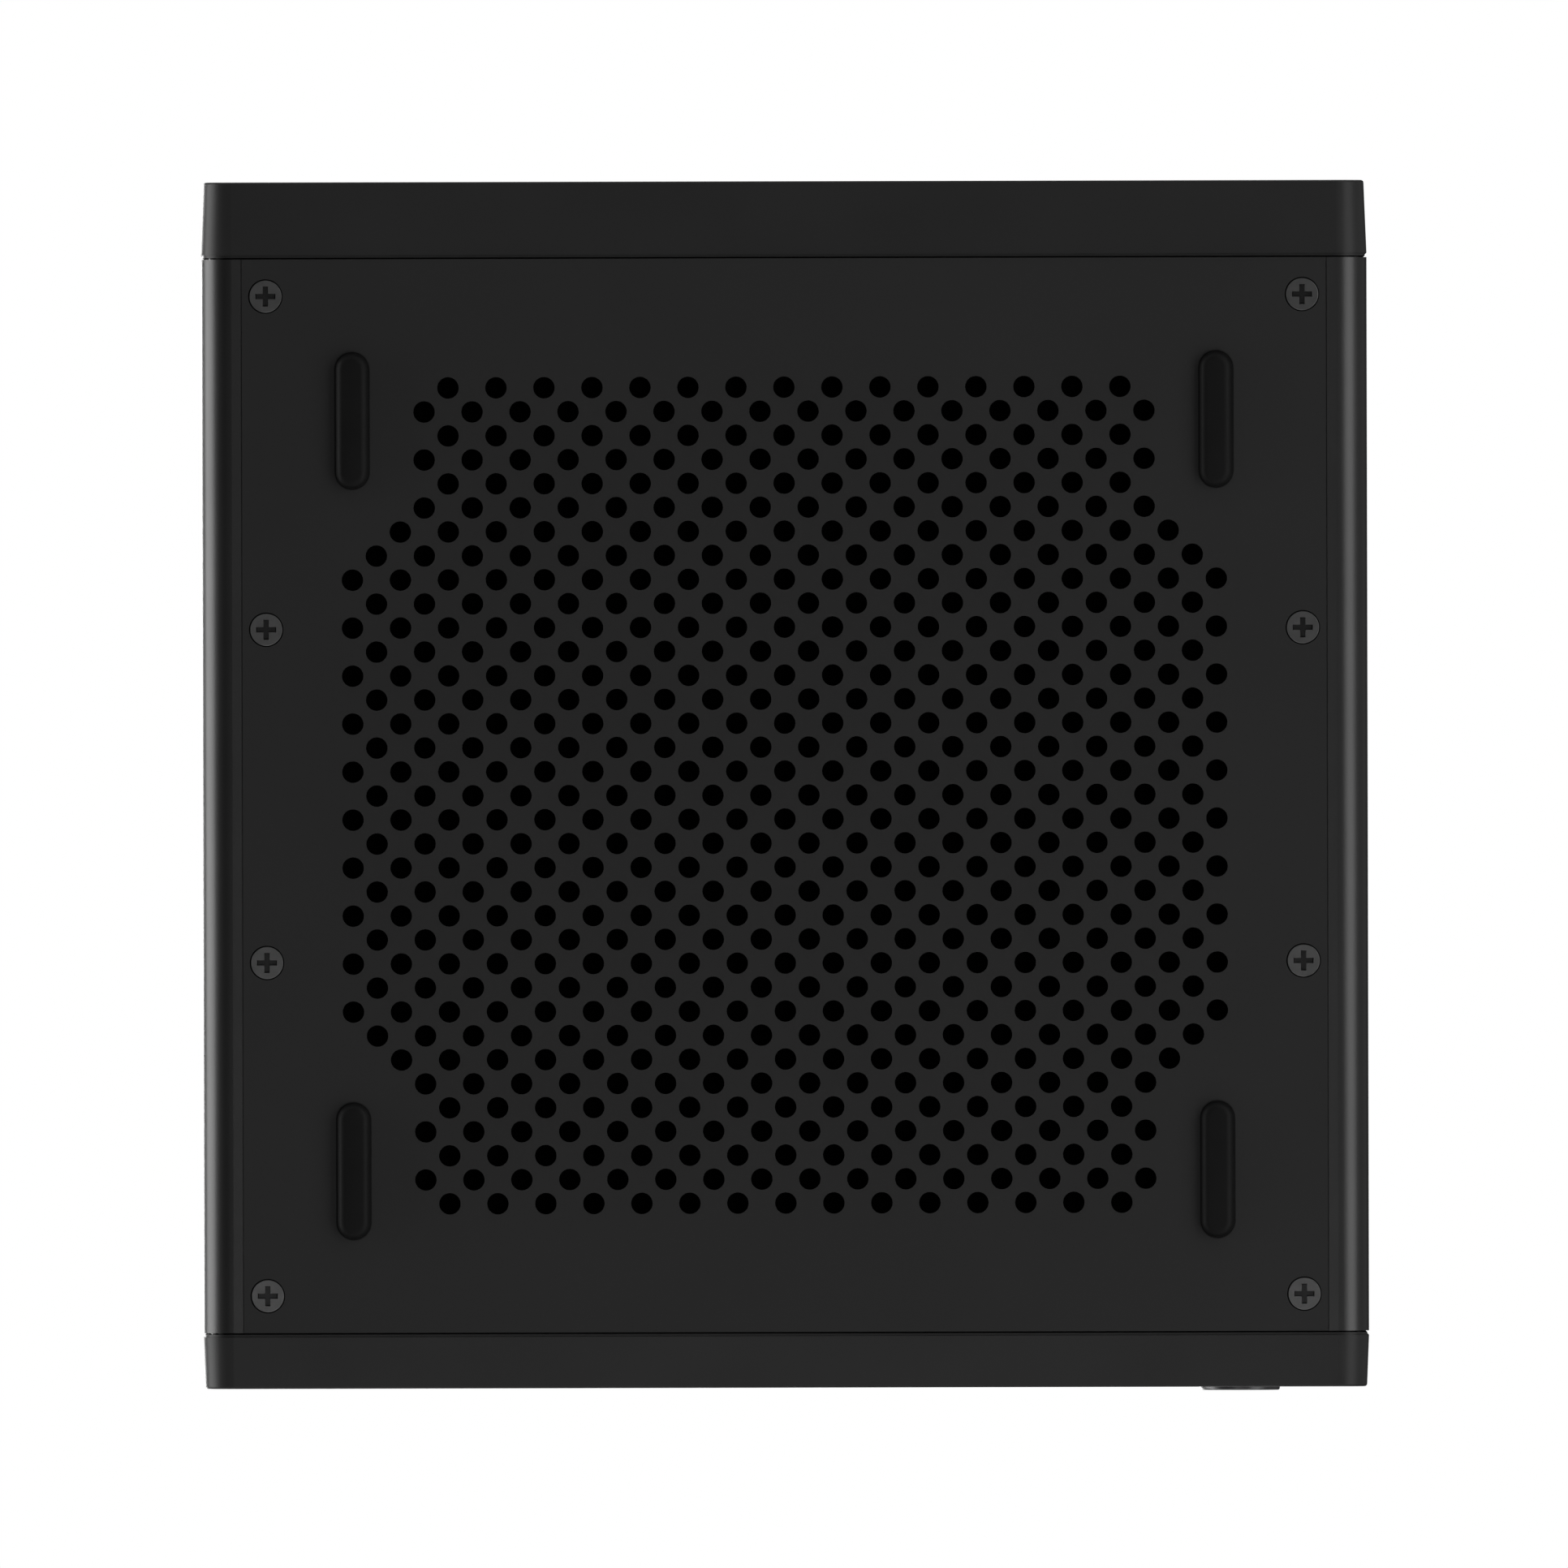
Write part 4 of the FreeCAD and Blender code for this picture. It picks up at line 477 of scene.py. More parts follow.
# Bead-blasted, anodised aluminium: a dense metallic grey whose matt grain spreads highlights
# into soft bands along the rounded edges. Grit of 0.1 mm is drawn at 0.22 mm so that it shows.
SLEEVE = Finish("anodised_aluminium_blasted", "#323232", "#353535", 0.36, 0.9, Grain.BLASTED,
                grain_size=0.22, relief=0.006, patch=14, swing=0.008)
# Powder-coated sheet steel: near black, dull, with the faint ripple that the paint flows to.
PANEL = Finish("powder_coated_steel", "#0f0f0f", "#121212", 0.58, grain_size=0.7, relief=0.006,
               patch=30, swing=0.03, specular=0.24)
# Textured moulded plastic: black, even and duller than the metal, with a spark-eroded grain.
BEZEL = Finish("moulded_plastic_textured", "#1b1b1b", "#1f1f1f", 0.42, grain_size=0.26,
               relief=0.005, patch=20, swing=0.03, specular=0.13)
# The button's plastic is polished a little smoother than the bezel, so it shines at its rim.
BUTTON = Finish("moulded_plastic_satin", "#232325", "#28282a", 0.34, grain_size=0.3,
                relief=0.003, patch=8, swing=0.04, ior=1.54)
# Black-oxide steel: dark metal with a dull oily sheen, a shade lighter than the paint, with
# painted shade in its cross recess.
SCREW = RecessedSteel("black_oxide_steel", "#4d4d4d", "#565656", 0.32, 0.95, grain_size=0.16,
                      relief=0.003, patch=2, swing=0.06)
# Moulded rubber: the darkest and dullest surface, without a clear highlight.
RUBBER = Finish("moulded_rubber", "#090909", "#0c0c0c", 0.56, grain_size=0.35, relief=0.008,
                patch=5, swing=0.05, specular=0.07)
# Woven polyester dust cloth, threads every 0.5 mm: black, and made pure black without shine as
# painted shade inside the vents, so they look empty.
CLOTH_AND_VENT_SHADE = Woven("woven_polyester_black", "#000000", "#020202", 0.95, grain_size=0.5,
              relief=0.08, patch=6, swing=0.02, specular=0.0)
# Brushed, tin-plated steel: a bright grey with fine lines across.
SHIELD = Finish("tinned_steel_brushed", "#9a9b9c", "#8a8b8d", 0.34, 1.0, Grain.BRUSHED_X,
                grain_size=0.18, relief=0.004, patch=12)
# Galvanised steel: pale grey with faint crystals of uneven brightness.
FRAME = Spangled("galvanised_steel", "#8f9294", "#a5a8aa", 0.46, 1.0, grain_size=0.5,
                 relief=0.004, patch=20)
# Turned brass: warm yellow with rings from the lathe.
BRASS = Finish("turned_brass", "#b5964e", "#a3853f", 0.30, 1.0, Grain.BRUSHED_X,
               grain_size=0.12, relief=0.003, patch=4)
# Zinc-plated steel: cool light grey, slightly blue, on the small screws.
ZINC = Finish("zinc_plated_steel", "#a9adb2", "#989ca3", 0.32, 1.0, grain_size=0.15,
              relief=0.003, patch=2)
# Green solder mask over copper tracks, with black parts on it.
BOARD = CircuitBoard("solder_mask_green", "#0c2e1f", "#0c2e1f", 0.36, grain_size=0.4,
                     relief=0.004)
# The processor's carrier: a darker green laminate with a bright bare die above it.
SUBSTRATE = CircuitBoard("laminate_with_die", "#12382a", "#12382a", 0.34, grain_size=0.2,
                         relief=0.002, under=22.3, top=24.0, cell=3.2)
# Drawn copper: warm red metal with long fine lines.
COPPER = Finish("drawn_copper", "#b8714e", "#a4603f", 0.28, 1.0, Grain.BRUSHED_Y,
                grain_size=0.14, relief=0.003, patch=10)
# Thin rolled aluminium: bright and clean, for the fins.
FINS = Finish("rolled_aluminium", "#b4b6b8", "#a6a8ab", 0.30, 1.0, Grain.BRUSHED_Z,
              grain_size=0.15, relief=0.003, patch=10)
# Glass-filled nylon: black with a satin skin and a faint flow pattern.
NYLON = Finish("glass_filled_nylon", "#131314", "#1b1b1c", 0.46, grain_size=0.5, relief=0.008,
               patch=7, ior=1.53)
# Heat-proof socket plastic: black and even.
SOCKET = Finish("socket_polymer", "#151516", "#1b1b1d", 0.40, grain_size=0.3, relief=0.004,
                patch=4, ior=1.6)
# Spring steel: bright, with a straw tint from its heat treatment.
SPRING = Finish("spring_steel", "#a29d93", "#8f8a80", 0.30, 1.0, Grain.BRUSHED_Y,
                grain_size=0.12, relief=0.002, patch=4)
# Printed film: black with a satin face.
FILM = Finish("antenna_film", "#1a1a1c", "#232326", 0.38, grain_size=0.6, relief=0.004, patch=5)
# Extruded lead jacket: dark grey, waxy.
JACKET = Finish("lead_jacket", "#1d1d1f", "#27272a", 0.36, grain_size=0.4, relief=0.003,
                patch=3, ior=1.38)
# Nickel-plated cell: bright and warm, with a circular drawn surface.
NICKEL = Finish("nickel_plate", "#b9b5aa", "#a8a49a", 0.26, 1.0, Grain.BRUSHED_X,
                grain_size=0.16, relief=0.003, patch=5)
# Satin anodised drive case: light neutral aluminium.
CASE = Finish("drive_case_aluminium", "#6f7276", "#7b7e82", 0.40, 1.0, Grain.BRUSHED_X,
              grain_size=0.2, relief=0.004, patch=16)
# Polyimide film: deep amber, smooth, with the copper below showing through.
AMBER = Finish("polyimide_film", "#7a3f0f", "#8c4d16", 0.26, grain_size=0.9, relief=0.003,
               patch=3, coat=0.4)
# Tin-plated port shells: bright grey rims around mouths that are lined in black.
PORTS = {node: PortShell(f"{node}_shell", "#a7a9ac", "#97999c", 0.28, 1.0, Grain.BRUSHED_X,
                         grain_size=0.16, relief=0.003, patch=4, middle=middle, half=half,
                         pair=pair)
         for node, middle, half, pair in (
             ("front_usb_ports", (0.95, 21.15), (6.3, 2.6), (9.55, 0.0)),
             ("front_usb_c_port", (-28.6, 21.0), (4.25, 1.35), (0.0, 0.0)),
             ("rear_usb_c_port", (13.5, 22.4), (4.25, 1.35), (0.0, 0.0)),
             ("ethernet_port", (28.5, 16.15), (5.95, 5.15), (0.0, 0.0)),
             ("rear_usb_stack", (46.25, 16.2), (6.3, 2.6), (0.0, 3.9)),
             ("hdmi_port", (63.5, 21.0), (7.25, 2.75), (0.0, 0.0)))}
# Moulded clear polycarbonate with a frosted end: a pale glow where the status light comes out.
GUIDE = ClearPlastic("clear_polycarbonate", "#dfe3e6", "#e9ecee", 0.25, grain_size=0.3,
                     relief=0.003, patch=2, swing=0.03, ior=1.585)
# Gold-plated spring bronze: small warm glints deep in the sockets.
GOLD = Finish("gold_plated_contacts", "#d0a545", "#c2973a", 0.22, 1.0, Grain.BRUSHED_Y,
              grain_size=0.1, relief=0.002, patch=2)
# Matt painted studio floor: almost white, so that the dark case and its shadow stand out.
FLOOR = StudioFloor("pale_studio_floor", "#9e9e9c", "#9a9a98", 0.7, grain_size=1.2,
                    relief=0.02, patch=90)

# Which finish each carried-over node gets.
DRESS: dict[Finish, tuple[str, ...]] = {
    SLEEVE: ("sleeve",),
    CLOTH_AND_VENT_SHADE: ("dust_mesh",),
    BEZEL: ("front_bezel", "rear_bezel"),
    BUTTON: ("power_button_cap", "power_switch_plunger"),
    SHIELD: ("rear_io_shield",),
    FRAME: ("inner_frame", "drive_caddy"),
    BRASS: ("board_standoffs", "fan_spacers"),
    ZINC: ("board_screws", "cooler_screws", "m2_screws"),
    BOARD: ("mainboard", "front_io_board"),
    SUBSTRATE: ("cpu_package",),
    COPPER: ("cold_plate", "heat_pipe_1", "heat_pipe_2"),
    FINS: ("fin_stack",),
    NYLON: ("blower_housing", "blower_lid", "blower_rotor", "fan_frame", "fan_rotor"),
    SOCKET: ("ram_socket_1", "ram_socket_2", "m2_sockets", "audio_jack", "power_switch_body",
             "dc_jack"),
    SPRING: ("ram_latch_1_left", "ram_latch_1_right", "ram_latch_2_left", "ram_latch_2_right"),
    FILM: ("wifi_antennas",),
    JACKET: ("antenna_leads",),
    NICKEL: ("coin_cell",),
    CASE: ("sata_drive",),
    AMBER: ("sata_flex", "front_flex_cable"),
    GUIDE: ("led_light_pipe",),
} | {finish: (node,) for node, finish in PORTS.items()}
# How thick each plug-in card's own board is, in millimetres.
CARDS = {"ram_module_1": 1.2, "ram_module_2": 1.2, "m2_drive_1": 0.8, "m2_drive_2": 0.8,
         "wifi_card": 0.8}


class Wardrobe:
    """Makes each finish's material once and hands it out."""

    def __init__(self) -> None:
        """Starts empty."""
        self.made: dict[Finish, bpy.types.Material] = {}

    def material(self, finish: Finish) -> bpy.types.Material:
        """Gives the finish's material, which is made on its first use.

        Args:
            finish: the finish.

        Returns:
            Its material.
        """
        if finish not in self.made:
            self.made[finish] = finish.make()
        return self.made[finish]

    def dress(self, node: str, finish: Finish) -> None:
        """Gives every slot of a carried-over node the finish's material.

        Args:
            node: the node's name.
            finish: the finish.
        """
        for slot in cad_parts[node].material_slots:
            slot.material = self.material(finish)
        log.info("%s dressed in %s", node, finish.label)


# ------------------------------ meshes
def span(node: str) -> tuple[Vector, Vector]:
    """Measures a node.

    Args:
        node: the node's name.

    Returns:
        Its lowest and its highest corner, in millimetres.
    """
    low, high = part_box(node)
    return low / MM, high / MM


def show(name: str, data: bpy.types.ID) -> bpy.types.Object:
    """Puts data in the scene as an object.

    Args:
        name: the object's name.
        data: a mesh, a light or a camera.

    Returns:
        The object, at the origin.
    """
    made = bpy.data.objects.new(name, data)
    bpy.context.scene.collection.objects.link(made)
    return made


def smooth(mesh: bpy.types.Mesh) -> bpy.types.Mesh:
    """Welds a mesh, points its faces outwards and shades all but its creases smoothly.

    Args:
        mesh: a closed mesh.

    Returns:
        The same mesh.
    """
    work = bmesh.new()
    work.from_mesh(mesh)
    bmesh.ops.remove_doubles(work, verts=work.verts, dist=WELD)
    bmesh.ops.recalc_face_normals(work, faces=work.faces)
    work.to_mesh(mesh)
    work.free()
    mesh.shade_smooth()
    mesh.set_sharp_from_angle(angle=CREASE)
    return mesh


def place(mesh: bpy.types.Mesh, name: str, body: str, slot: str,
          nodes: Sequence[str] = ()) -> None:
    """Puts a finished mesh in the scene as a piece.

    Args:
        mesh: the mesh, in its place.
        name: the piece's name.
        body: the body that it moves with.
        slot: the record's material slot; not used.
        nodes: the carried-over nodes that it stands for.
    """
    piece = show(name, mesh)
    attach(piece, body)
    if nodes:
        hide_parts(*nodes)
    log.info("%s built with %d faces", name, len(mesh.polygons))


def skin(work: bmesh.types.BMesh, rings: Rings) -> list[list[bmesh.types.BMVert]]:
    """Joins closed rings of equal length by bands of faces.

    Args:
        work: the mesh that gets them.
        rings: rings of points in millimetres.

    Returns:
        Each ring's vertices, in metres.
    """
    rows = [[work.verts.new(Vector(point) * MM) for point in ring] for ring in rings]
    for low, high in zip(rows, rows[1:]):
        for i in range(len(low)):
            work.faces.new((low[i - 1], low[i], high[i], high[i - 1]))
    return rows


def keep(work: bmesh.types.BMesh, name: str) -> bpy.types.Mesh:
    """Ends the work on a mesh.

    Args:
        work: the mesh as it was worked on.
        name: the mesh's name.

    Returns:
        The mesh.
    """
    mesh = bpy.data.meshes.new(name)
    work.to_mesh(mesh)
    work.free()
    return mesh


def loft(rings: Rings) -> bpy.types.Mesh:
    """Joins closed rings of equal length into a skin and caps both ends.

    Args:
        rings: rings of points in millimetres.

    Returns:
        A closed mesh in metres.
    """
    work = bmesh.new()
    rows = skin(work, rings)
    work.faces.new(rows[0])
    work.faces.new(rows[-1])
    return smooth(keep(work, "loft"))


class GeometryTree:
    """A geometry tree with named inputs, which makes one plain mesh.

    Where it repeats a template, shape is what gives that to the other nodes.
    """

    def __init__(self, name: str, finish: bpy.types.Material, sizes: dict[str, float | int],
                 template: bpy.types.Mesh | None = None) -> None:
        """Starts a tree.

        Args:
            name: the name of the tree and of its mesh.
            finish: the material that the mesh gets.
            sizes: the named inputs' values, which are metres or counts.
            template: the mesh that the tree repeats.
        """
        self.tree = bpy.data.node_groups.new(name, "GeometryNodeTree")
        self.values: dict[str, Any] = sizes | {"Finish": finish}
        if template:
            self.values["Template"] = show(f"{name}_template", template)
        face = self.tree.interface
        for label, value in self.values.items():
            face.new_socket(label, in_out="INPUT", socket_type=SOCKETS[type(value)])
        face.new_socket("Geometry", in_out="OUTPUT", socket_type="NodeSocketGeometry")
        self.given = add(self.tree, "NodeGroupInput").outputs
        if template:
            info = add(self.tree, "GeometryNodeObjectInfo", {"Object": self.given["Template"]})
            self.shape = info.outputs["Geometry"]

    def mesh(self, geometry: Source) -> bpy.types.Mesh:
        """Ends the tree, runs it once and keeps its result.

        Args:
            geometry: the tree's result, with its instances.

        Returns:
            A plain mesh with no modifier behind it.
        """
        whole = add(self.tree, REAL, {0: geometry})
        dressed = add(self.tree, "GeometryNodeSetMaterial",
                      {"Geometry": whole, "Material": self.given["Finish"]})
        add(self.tree, "NodeGroupOutput", {0: dressed})
        carrier = show(self.tree.name, bpy.data.meshes.new(self.tree.name))
        modifier = carrier.modifiers.new(self.tree.name, "NODES")
        modifier.node_group = self.tree
        for item in self.tree.interface.items_tree:
            if item.name in self.values:
                modifier[item.identifier] = self.values[item.name]
        graph = bpy.context.evaluated_depsgraph_get()
        mesh = bpy.data.meshes.new_from_object(carrier.evaluated_get(graph))
        carrier.modifiers.remove(modifier)
        bpy.data.objects.remove(carrier)
        if "Template" in self.values:
            bpy.data.objects.remove(self.values["Template"])
        mesh.materials.pop(index=0)  # the empty slot that Set Material leaves in front
        return smooth(mesh)


# ------------------------------ base
@dataclass(frozen=True)
class BottomPanel:
    """The painted base plate, with countersunk holes and a staggered field of vents.

    Columns of side_rows vents step out on both sides of the field.
    """

    wardrobe: Wardrobe
    vent_radius: float = 1.75
    vent_pitch: float = 7.7782
    vent_rows: int = 18
    vent_columns: int = 7
    side_rows: tuple[int, ...] = (12, 11, 10)
    vent_sides: int = 24
    sink_radius: float = 2.8
    sink_lip: float = 0.35
    bore_radius: float = 1.7
    bore_sides: int = 40
    screw_rows: int = 4
    screw_x: float = 84.0
    screw_y: float = 81.0

    def build(self) -> None:
        """Builds the plate and puts it in its place."""
        low, high = span("bottom_panel")
        size, middle = high - low, (low + high) / 2
        flare = self.sink_radius - self.bore_radius
        layout = GeometryTree("base_plate", self.wardrobe.material(PANEL), {
            "Width": size.x * MM, "Length": size.y * MM, "Thickness": size.z * MM,
            "Vent Radius": self.vent_radius * MM, "Vent Pitch": self.vent_pitch * MM,
            "Sink Radius": self.sink_radius * MM, "Bore Radius": self.bore_radius * MM,
            "Sink Lip": self.sink_lip * MM, "Sink Depth": flare * MM,
            "Bore Depth": (size.z - self.sink_lip - flare) * MM,
            "Screw Width": 2 * self.screw_x * MM, "Screw Length": 2 * self.screw_y * MM,
            "Screw Rows": self.screw_rows})
        mesh = layout.mesh(add(layout.tree, MOVE, {
            "Geometry": self.plate(layout),
            "Translation": (middle.x * MM, middle.y * MM, low.z * MM)}))
        place(mesh, "base_plate", CHASSIS, "painted_panel", ["bottom_panel"])

    def fields(self) -> Iterable[tuple[int, float, int]]:
        """Gives each part of the vent field.

        Yields:
            The number of columns, half the width in pitches, and the number of rows.
        """
        yield 2 * self.vent_columns + 1, self.vent_columns, self.vent_rows
        yield 2 * self.vent_columns + 2, self.vent_columns + 0.5, self.vent_rows - 1
        for step, rows in enumerate(self.side_rows, 1):
            yield 2, self.vent_columns + (1 + step) / 2, rows

    def plate(self, layout: GeometryTree) -> Source:
        """Lays out the plate's two faces, its rim and the walls of its holes.

        Args:
            layout: the tree that makes it.

        Returns:
            The plate, standing on z = 0 around the origin.
        """
        tree, given = layout.tree, layout.given
        fields = []
        for columns, reach, rows in self.fields():
            width = add(tree, MATHS, {0: given["Vent Pitch"], 1: 2 * reach},
                        operation="MULTIPLY")
            length = add(tree, MATHS, {0: given["Vent Pitch"], 1: rows - 1},
                         operation="MULTIPLY")
            fields.append(add(tree, POINTS, {"Size X": width, "Size Y": length,
                                             "Vertices X": columns, "Vertices Y": rows}))
        vents = add(tree, TOGETHER, {0: fields})
        screws = add(tree, POINTS,
                     {"Size X": given["Screw Width"], "Size Y": given["Screw Length"],
                      "Vertices X": 2, "Vertices Y": given["Screw Rows"]})
        rim = add(tree, "GeometryNodeCurvePrimitiveQuadrilateral",
                  {"Width": given["Width"], "Height": given["Length"]})
        faces = []
        for bore in ("Sink Radius", "Bore Radius"):
            outlines = [rim]
            for points, radius, sides in ((vents, "Vent Radius", self.vent_sides),
                                          (screws, bore, self.bore_sides)):
                ring = add(tree, "GeometryNodeCurvePrimitiveCircle",
                           {"Resolution": sides, "Radius": given[radius]})
                outlines.append(add(tree, REPEAT, {"Points": points, "Instance": ring}))
            curves = add(tree, REAL, {0: add(tree, TOGETHER, {0: outlines})})
            faces.append(add(tree, "GeometryNodeFillCurve", {"Curve": curves}))
        up = add(tree, VECTOR, {"Z": given["Thickness"]})
        parts = [add(tree, FLIP, {0: faces[0]}),
                 add(tree, MOVE, {"Geometry": faces[1], "Translation": up}),
                 *self.walls(layout, vents, self.vent_sides,
                             [("Vent Radius", "Vent Radius", "Thickness")]),
                 *self.walls(layout, screws, self.bore_sides,
                             [("Sink Radius", "Sink Radius", "Sink Lip"),
                              ("Sink Radius", "Bore Radius", "Sink Depth"),
                              ("Bore Radius", "Bore Radius", "Bore Depth")])]
        edge = add(tree, "GeometryNodeCurveToMesh", {"Curve": rim})
        parts.append(add(tree, "GeometryNodeExtrudeMesh",
                         {"Mesh": edge, "Offset": up, "Offset Scale": 1.0}, mode="EDGES"))
        whole = add(tree, REAL, {0: add(tree, TOGETHER, {0: parts})})
        return add(tree, "GeometryNodeMergeByDistance", {"Geometry": whole, "Distance": WELD})

    def walls(self, layout: GeometryTree, points: Source, sides: int,
              bands: Sequence[tuple[str, str, str]]) -> list[Node]:
        """Stands open rings of wall on one another at every point.

        Args:
            layout: the tree that makes them.
            points: where the holes are.
            sides: how many faces go round.
            bands: from the bottom up, the inputs that hold each ring's lower radius, its upper
                radius and its height.

        Returns:
            The walls, facing into the holes.
        """
        tree, given = layout.tree, layout.given
        made, level = [], None
        for low, high, depth in bands:
            cone = add(tree, "GeometryNodeMeshCone",
                       {"Vertices": sides, "Radius Top": given[high],
                        "Radius Bottom": given[low], "Depth": given[depth]}, fill_type="NONE")
            wall = add(tree, FLIP, {0: add(tree, REPEAT, {"Points": points, "Instance": cone})})
            if level:
                lift = add(tree, VECTOR, {"Z": level})
                wall = add(tree, MOVE, {"Geometry": wall, "Translation": lift})
            made.append(wall)
            level = add(tree, MATHS, {0: level or 0.0, 1: given[depth]}, operation="ADD")
        return made


@dataclass(frozen=True)
class PanelScrews:
    """Countersunk cross-head screws, their heads level with the plate.

    The brim is the head's rounded edge: how far inside its rim, and how far above its face. The
    recess narrows to its floor by the taper.
    """

    wardrobe: Wardrobe
    head_radius: float = 2.62
    brim: Path = ((0.09, 0.0), (0.06, 0.0), (0.018, 0.018), (0.0, 0.06))
    shank_radius: float = 1.5
    sink: float = 0.36
    tip: float = 0.4
    recess_arm: float = 3.25
    recess_width: float = 0.85
    recess_depth: float = 0.9
    recess_taper: float = 0.9
    sides: int = 40
    rows: int = 4
    screw_x: float = 84.0
    screw_y: float = 81.0

    def build(self) -> None:
        """Builds one screw and repeats it at every hole."""
        low, high = span("bottom_panel_screws")
        layout = GeometryTree("panel_screws", self.wardrobe.material(SCREW), {
            "Width": 2 * self.screw_x * MM, "Length": 2 * self.screw_y * MM,
            "Rows": self.rows, "Middle": (low.y + high.y) / 2 * MM, "Level": low.z * MM},
            self.screw(high.z - low.z))
        tree, given = layout.tree, layout.given
        points = add(tree, POINTS, {"Size X": given["Width"], "Size Y": given["Length"],
                                    "Vertices X": 2, "Vertices Y": given["Rows"]})
        middle = add(tree, VECTOR, {"Y": given["Middle"], "Z": given["Level"]})
        points = add(tree, MOVE, {"Geometry": points, "Translation": middle})
        mesh = layout.mesh(add(tree, REPEAT, {"Points": points, "Instance": layout.shape}))
        place(mesh, "panel_screws", CHASSIS, "black_screw_steel", ["bottom_panel_screws"])

    def cross(self) -> list[tuple[float, float]]:
        """Traces the recess.

        Returns:
            Its twelve corners, counter-clockwise.
        """
        arm, half = self.recess_arm / 2, self.recess_width / 2
        quarter = [(arm, -half), (arm, half), (half, half)]
        corners = []
        for _ in range(4):
            corners += quarter
            quarter = [(-y, x) for x, y in quarter]
        return corners

    def screw(self, length: float) -> bpy.types.Mesh:
        """Models one screw with its head at z = 0 and its shank upwards.

        Args:
            length: from the head's face to the tip.

        Returns:
            A closed mesh in metres.
        """
        rim, shank = self.head_radius, self.shank_radius
        profile = [(rim - inset, level) for inset, level in self.brim]
        profile += [(rim, self.sink), (shank, self.sink + rim - shank),
                    (shank, length - self.tip), (shank - self.tip, length)]
        turns = [2 * math.pi * i / self.sides for i in range(self.sides)]
        work = bmesh.new()
        rings = skin(work, [[(radius * math.cos(turn), radius * math.sin(turn), z)
                             for turn in turns] for radius, z in profile])
        work.faces.new(rings[-1])
        mouth = [(x, y, 0.0) for x, y in self.cross()]
        floor = [(x * self.recess_taper, y * self.recess_taper, self.recess_depth)
                 for x, y in self.cross()]
        recess = skin(work, [mouth, floor])
        work.faces.new(recess[-1])
        edges = [work.edges.get((ring[i - 1], ring[i])) for ring in (rings[0], recess[0])
                 for i in range(len(ring))]
        bmesh.ops.triangle_fill(work, edges=edges, use_beauty=True)
        return keep(work, "screw")


@dataclass(frozen=True)
class Foot:
    """A pill-shaped rubber foot with a rounded sole."""

    wardrobe: Wardrobe
    node: str
    rounding: float = 1.4
    flange: float = 0.24
    flange_thickness: float = 0.15
    arc_steps: int = 8
    end_steps: int = 16

    def build(self) -> None:
        """Builds the foot in its node's box."""
        low, high = span(self.node)
        rings = [self.outline(low, high, self.flange + self.rounding * (1 - math.sin(turn)),
                              low.z + self.rounding * (1 - math.cos(turn)))
                 for turn in (math.pi / 2 * i / self.arc_steps for i in range(self.arc_steps + 1))]
        step = high.z - self.flange_thickness
        rings += [self.outline(low, high, inset, level)
                  for inset, level in ((self.flange, step), (0.0, step), (0.0, high.z))]
        mesh = loft(rings)
        mesh.materials.append(self.wardrobe.material(RUBBER))
        place(mesh, self.node.replace("foot", "rubber_foot"), CHASSIS, "foot_rubber",
              [self.node])

    def outline(self, low: Vector, high: Vector, inset: float, z: float) -> list[Vector]:
        """Traces the pill's outline.

        Args:
            low: the box's lowest corner.
            high: the box's highest corner.
            inset: how far inside the box the outline runs.
            z: the outline's level.

        Returns:
            The points, counter-clockwise.
        """
        middle = (low + high) / 2
        width, length = (high.x - low.x) / 2, (high.y - low.y) / 2
        radius, reach = width - inset, length - width
        points = []
        for side in (0, 1):
            for i in range(self.end_steps + 1):
                turn = math.pi * (side + i / self.end_steps)
                points.append(Vector((middle.x + radius * math.cos(turn),
                                      middle.y + (1 - 2 * side) * reach
                                      + radius * math.sin(turn), z)))
        return points


# ------------------------------ sockets
@dataclass(frozen=True)
class ContactRow:
    """Gold-plated springs side by side in a socket, repeated for each of its mouths.

    The path runs along a spring's lower face: how far behind the socket's face, and how high.
    """

    wardrobe: Wardrobe
    name: str
    node: str
    count: int
    pitch: float
    width: float
    middle: float
    path: Path
    mouths: int = 1
    step: tuple[float, float] = (0.0, 0.0)
    thickness: float = 0.15

    def build(self) -> None:
        """Shapes one spring and repeats it along the row and in every mouth."""
        first = self.middle - self.pitch * (self.count - 1) / 2
        layout = GeometryTree(self.name, self.wardrobe.material(GOLD), {
            "Count": self.count, "Pitch": self.pitch * MM, "First": first * MM,
            "Mouths": self.mouths, "Step X": self.step[0] * MM, "Step Z": self.step[1] * MM},
            self.spring())
        tree, given = layout.tree, layout.given
        start = add(tree, VECTOR, {"X": given["First"]})
        along = add(tree, VECTOR, {"X": given["Pitch"]})
        points = add(tree, LINE, {"Count": given["Count"], "Start Location": start,
                                  "Offset": along})
        row = add(tree, REPEAT, {"Points": points, "Instance": layout.shape})
        across = add(tree, VECTOR, {"X": given["Step X"], "Z": given["Step Z"]})
        mouths = add(tree, LINE, {"Count": given["Mouths"], "Offset": across})
        mesh = layout.mesh(add(tree, REPEAT, {"Points": mouths, "Instance": row}))
        place(mesh, self.name, CHASSIS, "copper")

    def spring(self) -> bpy.types.Mesh:
        """Shapes a flat strip that follows the path.

        Returns:
            One spring at x = 0.
        """
        low, high = span(self.node)
        face, inwards = (high.y, -1) if low.y > 0 else (low.y, 1)
        half, rings = self.width / 2, []
        for depth, level in self.path:
            y, top = face + inwards * depth, level + self.thickness
            rings.append([(-half, y, level), (half, y, level), (half, y, top), (-half, y, top)])
        return loft(rings)


